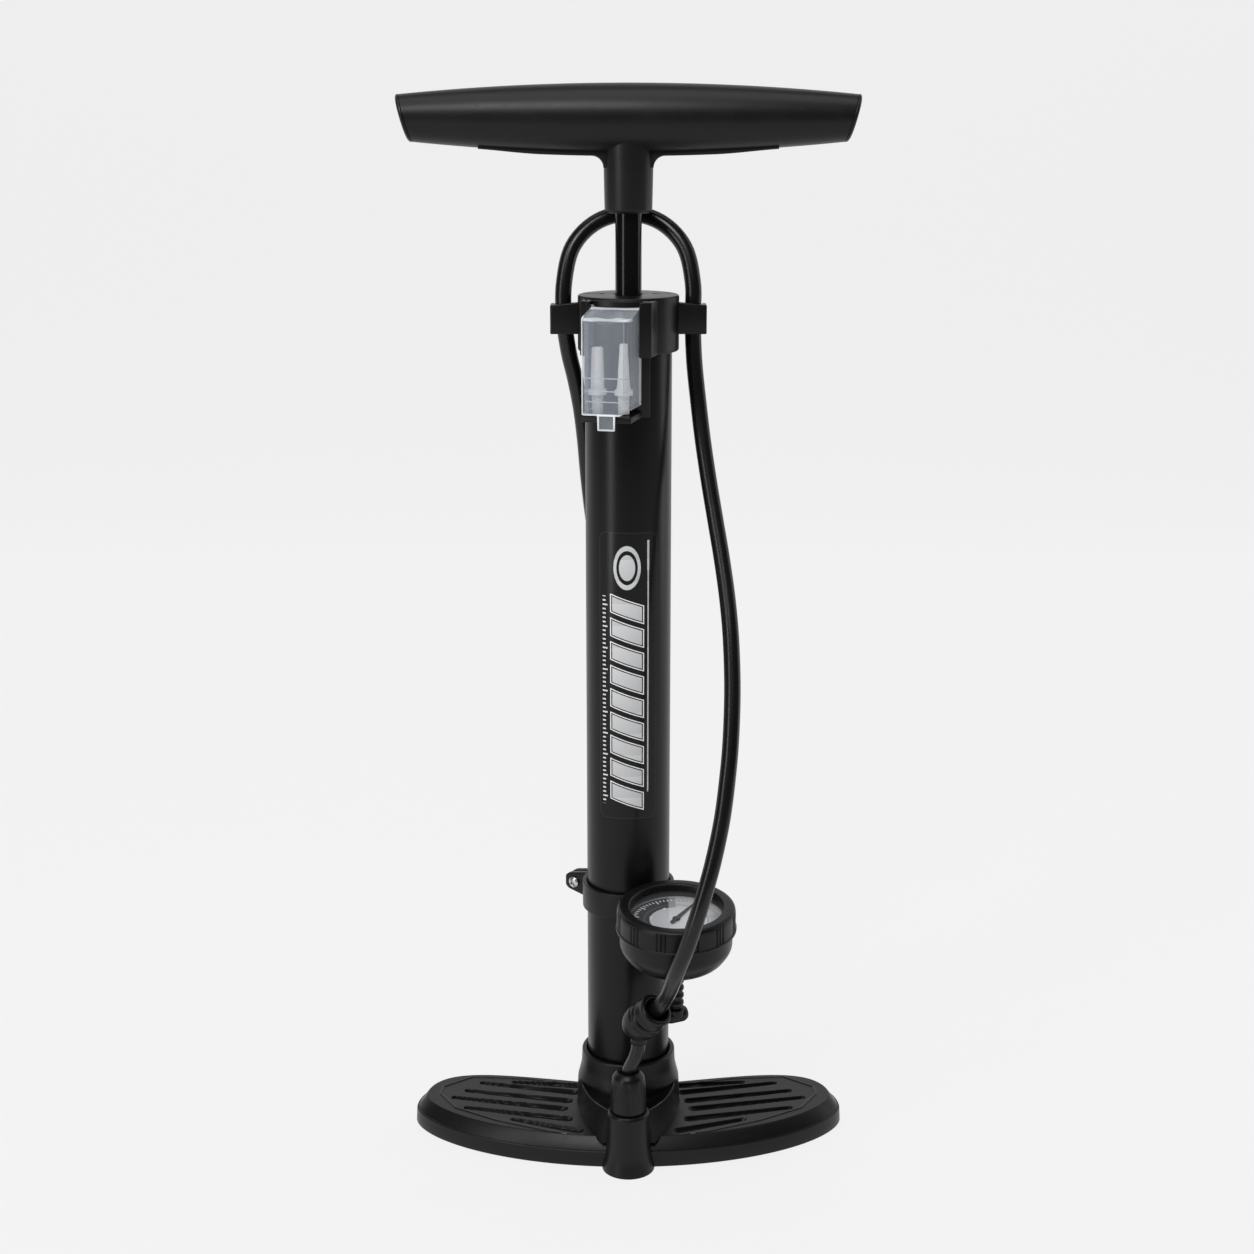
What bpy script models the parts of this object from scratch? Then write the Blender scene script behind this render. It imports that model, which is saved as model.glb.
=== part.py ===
"""Floor pump: T handle, steel barrel, winged foot base, dial gauge, hose and accessory box.

Metres, +Z up. The origin is on the barrel's axis, in the plane of the base's underside.
-Y is the front, where the gauge is, and the handle lies along X.
"""

from math import asin, atan2, cos, pi, radians, sin, sqrt

import bmesh
import bpy
from mathutils import Matrix, Vector

# Clearances
GAP = 0.0003  # between pieces that touch
RUN = 0.0003  # round pieces that slide or turn

# Barrel and top cap
BARREL_R = 0.0212
BARREL_WALL = 0.0014
BARREL_LENGTH = 0.411
CAP_WALL = 0.0033
CAP_HEIGHT = 0.0268
CAP_TOP = 0.004
CAP_BOSS = 0.015
CAP_LIP = 0.0015
BUSH_R = 0.0095
BUSH_FLANGE_R = 0.0125
BUSH_FLANGE = 0.0015
HOOK_OUT = 0.0132
HOOK_HEIGHT = 0.0138
HOOK_DROP = 0.0048
HOOK_WALL = 0.002

# Base
WING_HALF = 0.113
WING_FRONT = 0.051
WING_BACK = 0.016
WING_FLARE = 0.2
WING_HEIGHT = 0.0145
WING_BELT = 0.0085
WING_CHAMFER = 0.006
WING_WALL = 0.003
HUB_WALL = 0.0052
COLLAR_WALL = 0.0031
COLLAR_TOP = 0.0432
HUB_SHOULDER = 0.028
SEAT_Z = 0.020
CHAMBER_STEP = 0.0042
CHAMBER_FLOOR = 0.012
GASKET = 0.0015
BOSS_REACH = 0.0288
BOSS_TOP = 0.032
BOSS_R = 0.0107
BOSS_FOOT_R = 0.0135
WEB_HUB_Z = 0.028
SLOT_WIDTH = 0.0055
SLOT_DEPTH = 0.0016
SLOT_SLOPE = 0.21
SLOT_PITCH = 0.0097
SLOT_START = 0.0046
SLOT_BACK = 0.0105
SLOT_ENDS = (0.54, 0.69, 0.76, 0.805, 0.75, 0.53)  # shares of WING_HALF
POCKETS = ((0.30, 0.56), (0.59, 0.85))  # shares of WING_HALF

# Outlet and check valve
VALVE_BORE_R = 0.0062
VALVE_SEAT_TOP = 0.0195
VALVE_SEAT = 0.0025
VALVE_HOLE_R = 0.002
BALL_R = 0.0032
PORT_R = 0.002
NIPPLE_Z = 0.0300
NIPPLE_TOP = 0.0437
NUT_R = 0.009
NUT_TOP = 0.0535

# Rod and piston
ROD_R = 0.00635
ROD_WALL = 0.0012
STUD_R = 0.004
PISTON_NUT_Z = 0.0217
PISTON_NUT = 0.0062
WASHER = 0.0015
WASHER_R = 0.0150
CUP = 0.002
CUP_SKIRT = 0.0045
PISTON_HEAD = 0.0137
BUMPER = 0.006
BUMPER_R = 0.0105
FOOT_PLUG = 0.0157

# Handle
HUB_GAP = 0.0386
YOKE_R = 0.0114
YOKE_TOP_R = 0.0119
HANDLE_RISE = 0.0438
HANDLE_HALF = 0.105
HANDLE_R = 0.0162
HANDLE_END_R = 0.0110
HANDLE_BORE_R = 0.0085
END_SLANT = 0.27
END_CAP = 0.0018
STRIP_HALF = 0.071
STRIP_WIDTH = 0.0104
STRIP_PROUD = 0.0012
STRIP_DEPTH = 0.0025
YOKE_FILLET = 0.0055
PIN_R = 0.002

# Gauge, in a frame on its face: the face leans towards the front
GAUGE_X = 0.0237
GAUGE_Z = 0.1423
GAUGE_LEAN = radians(5.4)
BEZEL_R = 0.0300
BEZEL_HEIGHT = 0.0122
BEZEL_OPENING_R = 0.0225
BEZEL_TOP = 0.0034
CUP_R = 0.0276
CUP_LOWER_R = 0.0280
CUP_WALL = 0.0018
CUP_STRAIGHT = 0.0200
CUP_BOTTOM = 0.0360
LENS = 0.0015
DIAL_R = 0.0255
DIAL = 0.0008
NEEDLE_LENGTH = 0.0185
NEEDLE_REST = radians(60)
BOURDON_R = 0.014
STEM_R = 0.0031
STEM_RIB_R = 0.0042
STEM_END = 0.0570
BAND_LOW = 0.1236
BAND_HIGH = 0.1373
BAND_WALL = 0.0021
EAR_TURN = radians(35)
EAR_OUT = 0.0139
EAR = 0.0035
EAR_SLIT = 0.0016
SCREW_SPAN = 0.0079
SCREW_Z = 0.1300
SCREW_R = 0.0015
SCREW_HEAD_R = 0.00285
SCREW_HEAD = 0.0018

# Tee fitting: its main axis leans right and forward
TEE_X = 0.0060
TEE_Z = 0.0805
TEE_FRONT = 0.0010
TEE_AXIS = Vector((0.52, -0.50, 0.69)).normalized()
TEE_R = 0.0095
TEE_NUT_R = 0.0093
TEE_NUT = 0.0082
TEE_BODY = 0.0074
ARM_R = 0.0042

# Accessory box, in a frame turned to the left of the front
BOX_TURN = radians(-15)
BOX_LEFT = -0.0111
BOX_RIGHT = 0.01305
BOX_DEPTH = 0.0215
BOX_WALL = 0.0011
BOX_HEIGHT = 0.0450
BOX_SLOPE = 0.0037
BOX_DROP = 0.0037
BOX_STANDOFF = 0.0040
SHELF = 0.003
PLATE = 0.002
PIVOT_OUT = 0.0043
PIVOT_DROP = 0.0054
PIVOT_R = 0.001
PIVOT_BUMP = 0.0016
TAB_LEFT = -0.0028
TAB_RIGHT = 0.0056
TAB_DROP = 0.0070
ADAPTER_OUT = 0.0115
CONE_X = 0.0073
STRAIGHT_X = -0.0054
PEG_R = 0.0012

# Hose, from the tee nut over the two hooks to the chuck behind the barrel. The route's points
# suit a cap at ROUTE_CAP_Z, hooks that reach to ROUTE_REACH, a barrel of ROUTE_BARREL_R and a
# bezel of ROUTE_BEZEL_R centred at ROUTE_GAUGE_Y. Point ROUTE_FREE is the last one beside the
# gauge, and point ROUTE_HOOKED is the first one at a hook.
HOSE_R = 0.004
FEED_R = 0.0035
ROUTE_CAP_Z = 0.4374
ROUTE_REACH = 0.0377
ROUTE_BARREL_R = 0.0212
ROUTE_BEZEL_R = 0.0300
ROUTE_GAUGE_Y = -0.048521
ROUTE_FREE = 9
ROUTE_HOOKED = 20
HOSE_ROUTE = (
    (0.0100, -0.0549, 0.0858),
    (0.0142, -0.0590, 0.0915),
    (0.0180, -0.0652, 0.1000),
    (0.0206, -0.0738, 0.1100),
    (0.0232, -0.0818, 0.1215),
    (0.0274, -0.0862, 0.1345),
    (0.0324, -0.0870, 0.1510),
    (0.0368, -0.0848, 0.1655),
    (0.0406, -0.0808, 0.1790),
    (0.0445, -0.0750, 0.1965),
    (0.0471, -0.0687, 0.2145),
    (0.0489, -0.0615, 0.2322),
    (0.0498, -0.0525, 0.2545),
    (0.0493, -0.0430, 0.2766),
    (0.0478, -0.0345, 0.2944),
    (0.0453, -0.0260, 0.3124),
    (0.0422, -0.0180, 0.3305),
    (0.0391, -0.0108, 0.3487),
    (0.0363, -0.0045, 0.3673),
    (0.0340, 0.0005, 0.3862),
    (0.0320, 0.0032, 0.4055),
    (0.0312, 0.0043, 0.4250),
    (0.0312, 0.0060, 0.4420),
    (0.0270, 0.0108, 0.4592),
    (0.0157, 0.0162, 0.4706),
    (0.0000, 0.0192, 0.4746),
    (-0.0157, 0.0162, 0.4706),
    (-0.0270, 0.0108, 0.4592),
    (-0.0312, 0.0060, 0.4420),
    (-0.0312, 0.0045, 0.4250),
    (-0.0292, 0.0075, 0.4090),
    (-0.0262, 0.0118, 0.3950),
    (-0.0236, 0.0162, 0.3800),
    (-0.0218, 0.0205, 0.3634),
    (-0.0202, 0.0243, 0.3430),
    (-0.0178, 0.0275, 0.3210),
    (-0.0142, 0.0302, 0.2980),
    (-0.0092, 0.0324, 0.2760),
    (-0.0042, 0.0334, 0.2560),
    (-0.0008, 0.0335, 0.2400),
    (0.0000, 0.0335, 0.2310),
    (0.0000, 0.0335, 0.2240),
)

# Chuck on the hose's end
CHUCK_OUT = 0.0123
CHUCK_DROP = 0.2294
CHUCK_R = 0.0085
CHUCK_BACK = -0.0100
CHUCK_FRONT = 0.0080
CHUCK_NECK_R = 0.0055
CHUCK_NECK_TOP = 0.0157
CHUCK_CAP = 0.0067
MOUTH_R = 0.0045
LEVER_X = -0.0140
LEVER_R = 0.0034
LEVER_WIDTH = 0.0084
LEVER_LENGTH = 0.034
LEVER_PIN_R = 0.0012

# Worked out from the sizes above
CAP_R = BARREL_R + CAP_WALL
HUB_R = BARREL_R + HUB_WALL
COLLAR_R = BARREL_R + COLLAR_WALL
CHAMBER_R = BARREL_R - CHAMBER_STEP
HOOK_REACH = CAP_R + HOOK_OUT
BOSS_Y = -(BARREL_R + BOSS_REACH)
BARREL_BORE = BARREL_R - BARREL_WALL
BARREL_LOW = SEAT_Z + GAP + GASKET + GAP
BARREL_HIGH = BARREL_LOW + BARREL_LENGTH
CAP_UNDER = BARREL_HIGH + GAP
CAP_Z = CAP_UNDER + CAP_TOP
CAP_LOW = CAP_Z - CAP_HEIGHT
CAP_INNER = BARREL_R + GAP
BUSH_LOW = CAP_Z - CAP_BOSS - GAP - BUSH_FLANGE
YOKE_LOW = CAP_Z + HUB_GAP
HANDLE_Z = YOKE_LOW + HANDLE_RISE
WASHER_LOW = PISTON_NUT_Z + PISTON_NUT + GAP
CUP_LOW = WASHER_LOW + WASHER + GAP
HEAD_LOW = CUP_LOW + CUP + GAP
HEAD_HIGH = HEAD_LOW + PISTON_HEAD
ROD_LOW = HEAD_HIGH + GAP
ROD_HIGH = HANDLE_Z - 0.0103
PIN_Z = ROD_HIGH - 0.0035
BAND_R = BARREL_R + GAP
BAND_OUTER = BAND_R + BAND_WALL
GAUGE_OUT = BAND_OUTER + 0.0004 + BEZEL_R
GAUGE_Y = -sqrt(GAUGE_OUT**2 - GAUGE_X**2)
EAR_REACH = BAND_OUTER + EAR_OUT
SCREW_OUT = BAND_OUTER + SCREW_SPAN
TEE = Vector((TEE_X, BOSS_Y - TEE_FRONT, TEE_Z))
PLATE_R = CAP_R + GAP
BOX_FRONT = CAP_R + BOX_DEPTH
BOX_BACK_R = CAP_R + BOX_STANDOFF
BOX_BACK_HIGH = CAP_Z - BOX_DROP
BOX_HIGH = BOX_BACK_HIGH - BOX_SLOPE
BOX_LOW = BOX_HIGH - BOX_HEIGHT
TAB_LOW = BOX_LOW - TAB_DROP
PIVOT_Y = -(CAP_R + PIVOT_OUT)
PIVOT_Z = CAP_Z - PIVOT_DROP
ADAPTER_Y = -(CAP_R + ADAPTER_OUT)
CHUCK = Vector((0.0, BARREL_R + CHUCK_OUT, CAP_Z - CHUCK_DROP))
FEED_ROUTE = (
    (TEE_X - 0.0010, BOSS_Y - 0.0023, 0.0695),
    (TEE_X - 0.0013, BOSS_Y - 0.0027, 0.0665),
    (TEE_X - 0.0026, BOSS_Y - 0.0029, 0.0622),
    (TEE_X - 0.0046, BOSS_Y - 0.0016, 0.0572),
    (0.0, BOSS_Y, 0.0525),
    (0.0, BOSS_Y, 0.0482),
    (0.0, BOSS_Y, 0.0440),
)

FINE = 36
ROUND = 24
SMALL = 16
CUTTER_REACH = 0.001


def clear_scene():
    for thing in list(bpy.data.objects):
        bpy.data.objects.remove(thing, do_unlink=True)


def finish(name, colour, roughness, metallic=0.0, alpha=1.0):
    """A Principled material: base colour, roughness, metal share and how opaque it is."""
    material = bpy.data.materials.new(name)
    material.use_nodes = True
    shader = material.node_tree.nodes["Principled BSDF"]
    shader.inputs["Base Color"].default_value = (*colour, 1.0)
    shader.inputs["Roughness"].default_value = roughness
    shader.inputs["Metallic"].default_value = metallic
    shader.inputs["Alpha"].default_value = alpha
    return material


def moulded_black(name):
    return finish(name, (0.012, 0.012, 0.013), 0.45)


def rubber_black(name):
    return finish(name, (0.010, 0.010, 0.010), 0.60)


def painted_steel(name):
    return finish(name, (0.008, 0.008, 0.009), 0.32, 0.1)


def zinc(name):
    return finish(name, (0.62, 0.62, 0.60), 0.30, 1.0)


def brass(name):
    return finish(name, (0.55, 0.40, 0.16), 0.30, 1.0)


def white_nylon(name):
    return finish(name, (0.75, 0.75, 0.72), 0.45)


def clear_plastic(name):
    return finish(name, (0.75, 0.80, 0.86), 0.12, 0.0, 0.35)


def piece(name, bm, material=None, parent=None, location=(0, 0, 0), rotation=None):
    """A named object from a bmesh, shaded smooth where its faces meet at under 35 degrees."""
    bmesh.ops.remove_doubles(bm, verts=bm.verts, dist=1e-7)
    bmesh.ops.recalc_face_normals(bm, faces=bm.faces)
    mesh = bpy.data.meshes.new(name)
    bm.to_mesh(mesh)
    bm.free()
    mesh.shade_smooth()
    mesh.set_sharp_from_angle(angle=radians(35))
    thing = bpy.data.objects.new(name, mesh)
    bpy.context.scene.collection.objects.link(thing)
    thing.location = location
    thing.parent = parent
    if rotation is not None:
        thing.rotation_mode = "QUATERNION"
        thing.rotation_quaternion = rotation
    if material is not None:
        mesh.materials.append(material)
    return thing


def frame_at(name, location, rotation=(0, 0, 0)):
    """An empty that carries pieces: its origin lies on their joint's axis."""
    empty = bpy.data.objects.new(name, None)
    empty.empty_display_size = 0.02
    empty.location = location
    empty.rotation_euler = rotation
    bpy.context.scene.collection.objects.link(empty)
    return empty


def turned(profile, steps=ROUND, closed=False):
    """A body of revolution about Z from (radius, height) points, a ring if the profile is closed."""
    bm = bmesh.new()
    verts = [bm.verts.new((r, 0, z)) for r, z in profile]
    edges = [bm.edges.new(pair) for pair in zip(verts, verts[1:])]
    if closed:
        edges.append(bm.edges.new((verts[-1], verts[0])))
    bmesh.ops.spin(
        bm, geom=verts + edges, cent=(0, 0, 0), axis=(0, 0, 1), angle=2 * pi, steps=steps
    )
    bmesh.ops.remove_doubles(bm, verts=bm.verts, dist=1e-6)
    return bm


def ring(inner, outer, low, high, steps=ROUND):
    return turned([(inner, low), (inner, high), (outer, high), (outer, low)], steps, closed=True)


def rod(radius, low, high, steps=ROUND):
    return turned([(0, low), (radius, low), (radius, high), (0, high)], steps)


def prism(outline, low, high, axis="Z"):
    """An outline of two-number points, extruded along the axis from low to high."""
    place = {
        "Z": lambda a, b, h: (a, b, h),
        "Y": lambda a, b, h: (a, h, b),
        "X": lambda a, b, h: (h, a, b),
    }[axis]
    bm = bmesh.new()
    face = bm.faces.new([bm.verts.new(place(a, b, low)) for a, b in outline])
    grown = bmesh.ops.extrude_face_region(bm, geom=[face])["geom"]
    shift = Vector(place(0, 0, high)) - Vector(place(0, 0, low))
    moved = [v for v in grown if isinstance(v, bmesh.types.BMVert)]
    bmesh.ops.translate(bm, verts=moved, vec=shift)
    return bm


def box(low, high):
    """A box between two corners."""
    outline = [(low[0], low[1]), (high[0], low[1]), (high[0], high[1]), (low[0], high[1])]
    return prism(outline, low[2], high[2])


def stacked(loops):
    """A skin over closed loops of equally many points, capped at both ends."""
    bm = bmesh.new()
    rows = [[bm.verts.new(p) for p in loop] for loop in loops]
    for below, above in zip(rows, rows[1:]):
        count = len(below)
        for i in range(count):
            j = (i + 1) % count
            bm.faces.new((below[i], below[j], above[j], above[i]))
    bm.faces.new(rows[0][::-1])
    bm.faces.new(rows[-1])
    return bm


def arc(radius, start, end, count, centre=(0, 0)):
    """Points on an arc, its angles in radians from +X."""
    turns = (start + (end - start) * i / (count - 1) for i in range(count))
    return [(centre[0] + radius * cos(t), centre[1] + radius * sin(t)) for t in turns]


def sector(inner, outer, left, right, low, high, count=10):
    """A block of a ring about Z. Its angles are counted from the front, positive to the right."""
    start, end = left - pi / 2, right - pi / 2
    outline = arc(outer, start, end, count) + arc(inner, end, start, count)
    return prism(outline, low, high)


def boolean(target, helpers, operation):
    """Adds one exact Boolean for each helper, which is hidden from then on."""
    for helper in helpers:
        helper.hide_render = True
        helper.display_type = "WIRE"
        modifier = target.modifiers.new(helper.name, "BOOLEAN")
        modifier.operation = operation
        modifier.solver = "EXACT"
        modifier.object = helper
    return target


def cut(target, *helpers):
    return boolean(target, helpers, "DIFFERENCE")


def join(target, *helpers):
    return boolean(target, helpers, "UNION")


def tube(name, points, radius, material, sides=2, cyclic=False):
    """A curve of straight pieces with a round bevel and filled caps."""
    curve = bpy.data.curves.new(name, "CURVE")
    curve.dimensions = "3D"
    curve.bevel_depth = radius
    curve.bevel_resolution = sides
    curve.use_fill_caps = True
    spline = curve.splines.new("POLY")
    spline.points.add(len(points) - 1)
    for target, p in zip(spline.points, points):
        target.co = (*p, 1.0)
    spline.use_cyclic_u = cyclic
    curve.materials.append(material)
    thing = bpy.data.objects.new(name, curve)
    bpy.context.scene.collection.objects.link(thing)
    return thing


def smooth_path(route, spacing):
    """Points at equal steps along a Catmull-Rom curve through the route's points."""
    knots = [Vector(p) for p in route]
    knots = [2 * knots[0] - knots[1], *knots, 2 * knots[-1] - knots[-2]]
    dense = []
    for a, b, c, d in zip(knots, knots[1:], knots[2:], knots[3:]):
        for i in range(16):
            t = i / 16
            dense.append(
                0.5
                * (2 * b + (c - a) * t + (2 * a - 5 * b + 4 * c - d) * t**2
                   + (3 * b - a - 3 * c + d) * t**3)
            )
    dense.append(knots[-2])
    lengths = [0.0]
    for a, b in zip(dense, dense[1:]):
        lengths.append(lengths[-1] + (b - a).length)
    count = max(2, round(lengths[-1] / spacing))
    points, k = [], 0
    for i in range(count + 1):
        along = lengths[-1] * i / count
        while k < len(dense) - 2 and lengths[k + 1] < along:
            k += 1
        share = (along - lengths[k]) / (lengths[k + 1] - lengths[k])
        points.append(dense[k].lerp(dense[k + 1], min(1.0, share)))
    return points


def turn_to(direction):
    """The rotation that takes +Z to a direction."""
    return Vector((0, 0, 1)).rotation_difference(Vector(direction))


# Base


def wing_front(x):
    return -WING_FRONT * max(0.0, 1 - (x / WING_HALF) ** 2) ** 0.6


def wing_back(x):
    fade = max(0.0, 1 - (abs(x) / WING_HALF) ** 5) ** 0.5
    return (WING_BACK + WING_FLARE * abs(x)) * fade


def wing_outline(count=14):
    """The base's plan: the front edge from left to right, then the back edge to the left."""
    spread = [WING_HALF * sin(pi / 2 * (i / count)) for i in range(-count, count + 1)]
    front = [(x, wing_front(x)) for x in spread]
    back = [(x, wing_back(x)) for x in reversed(spread[1:-1])]
    return front + back


def inset(outline, distance):
    """An outline moved inwards along its own normals. It runs anticlockwise."""
    moved = []
    for before, here, after in zip(outline[-1:] + outline[:-1], outline, outline[1:] + outline[:1]):
        along = Vector((after[0] - before[0], after[1] - before[1])).normalized()
        moved.append((here[0] - along.y * distance, here[1] + along.x * distance))
    return moved


def level(outline, height):
    return [(x, y, height) for x, y in outline]


def tread_slot(i, side):
    """The cutter of one tread slot: a long hole with round ends that slants to the front."""
    inner = Vector((HUB_R + SLOT_START, SLOT_BACK - SLOT_PITCH * i))
    end = SLOT_ENDS[i] * WING_HALF
    outer = Vector((end, inner.y + SLOT_SLOPE * (end - inner.x)))
    turn = atan2(outer.y - inner.y, outer.x - inner.x)
    r = SLOT_WIDTH / 2
    outline = arc(r, turn - pi / 2, turn + pi / 2, 6, outer)
    outline += arc(r, turn + pi / 2, turn + 3 * pi / 2, 6, inner)
    outline = [(side * x, y) for x, y in outline]
    return piece(
        f"cut_slot_{i}_{side}", prism(outline, WING_HEIGHT - SLOT_DEPTH, WING_HEIGHT + CUTTER_REACH)
    )


def wing_pocket(side, near, far):
    """The cutter of one hollow under a wing, between two cross ribs."""
    steps = 7
    xs = [WING_HALF * (near + (far - near) * i / (steps - 1)) for i in range(steps)]
    front = [(x, wing_front(x) + WING_WALL) for x in xs]
    back = [(x, wing_back(x) - WING_WALL - 0.004) for x in reversed(xs)]
    outline = [(side * x, y) for x, y in front + back]
    return piece(f"cut_pocket_{side}_{near:.2f}", prism(outline, -CUTTER_REACH, WING_BELT))


def web_block():
    """The solid between hub and boss: straight sides that touch both circles, a sloping top."""
    reach = -BOSS_Y
    lean = asin((HUB_R - BOSS_R) / reach)
    hub = [(s * HUB_R * cos(lean), -HUB_R * sin(lean)) for s in (-1, 1)]
    boss = [(s * BOSS_R * cos(lean), BOSS_Y - BOSS_R * sin(lean)) for s in (-1, 1)]
    plan = [hub[0], boss[0], boss[1], hub[1]]
    tops = [WEB_HUB_Z, BOSS_TOP - 0.0008, BOSS_TOP - 0.0008, WEB_HUB_Z]
    low = [(x, y, 0.0) for x, y in plan]
    high = [(x, y, z) for (x, y), z in zip(plan, tops)]
    return piece("add_web", stacked([low, high]))


def foot_base():
    outline = wing_outline()
    base = piece(
        "foot_base",
        stacked(
            [
                level(outline, 0.0),
                level(inset(outline, 0.0004), WING_BELT),
                level(inset(outline, WING_CHAMFER), WING_HEIGHT),
            ]
        ),
        moulded_black("base_plastic"),
    )
    hub = turned(
        [
            (0, 0),
            (HUB_R + 0.0006, 0),
            (HUB_R, HUB_SHOULDER),
            (HUB_R - 0.0008, HUB_SHOULDER + 0.003),
            (COLLAR_R, HUB_SHOULDER + 0.0065),
            (COLLAR_R, COLLAR_TOP - 0.0008),
            (COLLAR_R - 0.0006, COLLAR_TOP),
            (0, COLLAR_TOP),
        ],
        FINE,
    )
    boss = turned(
        [
            (0, 0),
            (BOSS_FOOT_R, 0),
            (BOSS_R + 0.0010, 0.007),
            (BOSS_R + 0.0003, 0.015),
            (BOSS_R, BOSS_TOP),
            (0, BOSS_TOP),
        ]
    )
    join(base, web_block(), piece("add_hub", hub), piece("add_boss", boss, location=(0, BOSS_Y, 0)))
    well = turned(
        [
            (0, CHAMBER_FLOOR),
            (CHAMBER_R, CHAMBER_FLOOR),
            (CHAMBER_R, SEAT_Z),
            (BARREL_R + GAP, SEAT_Z),
            (BARREL_R + GAP, COLLAR_TOP + CUTTER_REACH),
            (0, COLLAR_TOP + CUTTER_REACH),
        ],
        FINE,
    )
    bore = rod(VALVE_BORE_R, CHAMBER_FLOOR, BOSS_TOP + CUTTER_REACH, SMALL)
    port = rod(PORT_R, CHAMBER_R - 0.002, -BOSS_Y, 12)
    port_z = CHAMBER_FLOOR + PORT_R + 0.0005
    cut(
        base,
        piece("cut_well", well),
        piece("cut_valve_bore", bore, location=(0, BOSS_Y, 0)),
        piece("cut_port", port, location=(0, 0, port_z), rotation=turn_to((0, -1, 0))),
        *[tread_slot(i, side) for side in (-1, 1) for i in range(len(SLOT_ENDS))],
        *[wing_pocket(side, *span) for side in (-1, 1) for span in POCKETS],
    )


def outlet_parts():
    """The check valve in the boss, and the nipple and fluted nut that hold the feed hose."""
    at = (0, BOSS_Y, 0)
    fit = VALVE_BORE_R - GAP
    seat = ring(VALVE_HOLE_R, fit, VALVE_SEAT_TOP - VALVE_SEAT, VALVE_SEAT_TOP, SMALL)
    piece("check_valve_seat", seat, brass("seat_brass"), location=at)
    ball_z = VALVE_SEAT_TOP + sqrt((BALL_R + GAP) ** 2 - VALVE_HOLE_R**2)
    ball = bmesh.new()
    bmesh.ops.create_uvsphere(ball, u_segments=16, v_segments=10, radius=BALL_R)
    piece("check_valve_ball", ball, zinc("ball_steel"), location=(0, BOSS_Y, ball_z))
    wire = 0.0003
    low = ball_z + BALL_R + GAP + wire
    high = NIPPLE_Z - GAP - wire
    turns, per_turn, coil_r = 3, 10, 0.0022
    count = turns * per_turn
    points = [
        (
            coil_r * cos(2 * pi * i / per_turn),
            BOSS_Y + coil_r * sin(2 * pi * i / per_turn),
            low + (high - low) * i / count,
        )
        for i in range(count + 1)
    ]
    tube("check_valve_spring", points, wire, zinc("spring_steel"), 0)
    nipple = turned(
        [
            (0.0012, NIPPLE_Z),
            (fit, NIPPLE_Z),
            (fit, BOSS_TOP + 0.003),
            (0.0026, BOSS_TOP + 0.003),
            (0.0026, NIPPLE_TOP - 0.001),
            (0.0020, NIPPLE_TOP),
            (0.0012, NIPPLE_TOP),
        ],
        SMALL,
        closed=True,
    )
    piece("outlet_nipple", nipple, brass("nipple_brass"), location=at)
    low = BOSS_TOP + GAP
    nut = turned(
        [
            (fit + 2 * GAP, low),
            (fit + 2 * GAP, BOSS_TOP + 0.0045),
            (FEED_R + 0.0005, BOSS_TOP + 0.0075),
            (FEED_R + 0.0008, NUT_TOP),
            (NUT_R - 0.0032, NUT_TOP),
            (NUT_R - 0.0012, NUT_TOP - 0.0022),
            (NUT_R, NUT_TOP - 0.006),
            (NUT_R, low + 0.001),
            (NUT_R - 0.0008, low),
        ],
        closed=True,
    )
    piece("outlet_nut", nut, moulded_black("nut_plastic"), location=at)
    tube("feed_hose", smooth_path(FEED_ROUTE, 0.0026), FEED_R, rubber_black("feed_rubber"), 3)


# Barrel, cap and plunger


def barrel_parts():
    gasket = ring(CHAMBER_R + 0.001, BARREL_R, SEAT_Z + GAP, SEAT_Z + GAP + GASKET)
    piece("barrel_gasket", gasket, rubber_black("gasket_rubber"))
    barrel = ring(BARREL_BORE, BARREL_R, BARREL_LOW, BARREL_HIGH, FINE)
    piece("barrel_tube", barrel, painted_steel("barrel_paint"))


def hook(side):
    """One hose hook: an arm in front of the hose and a tab round its outer side."""
    front, back = -0.0050, -0.0010
    low = CAP_Z - HOOK_DROP - HOOK_HEIGHT
    high = CAP_Z - HOOK_DROP
    tab_in = HOOK_REACH - HOOK_WALL
    root = CAP_R - 0.0025
    arm = [
        (side * root, low + 0.0005),
        (side * (tab_in + 0.001), low + 0.0005),
        (side * (tab_in + 0.001), high - 0.001),
        (side * root, high + 0.0016),
    ]
    return (
        piece(f"add_arm_{side}", prism(arm, front, back, "Y")),
        piece(
            f"add_tab_{side}",
            box(
                (min(side * tab_in, side * HOOK_REACH), front - 0.0004, low),
                (max(side * tab_in, side * HOOK_REACH), 0.0066, high),
            ),
        ),
    )


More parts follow.
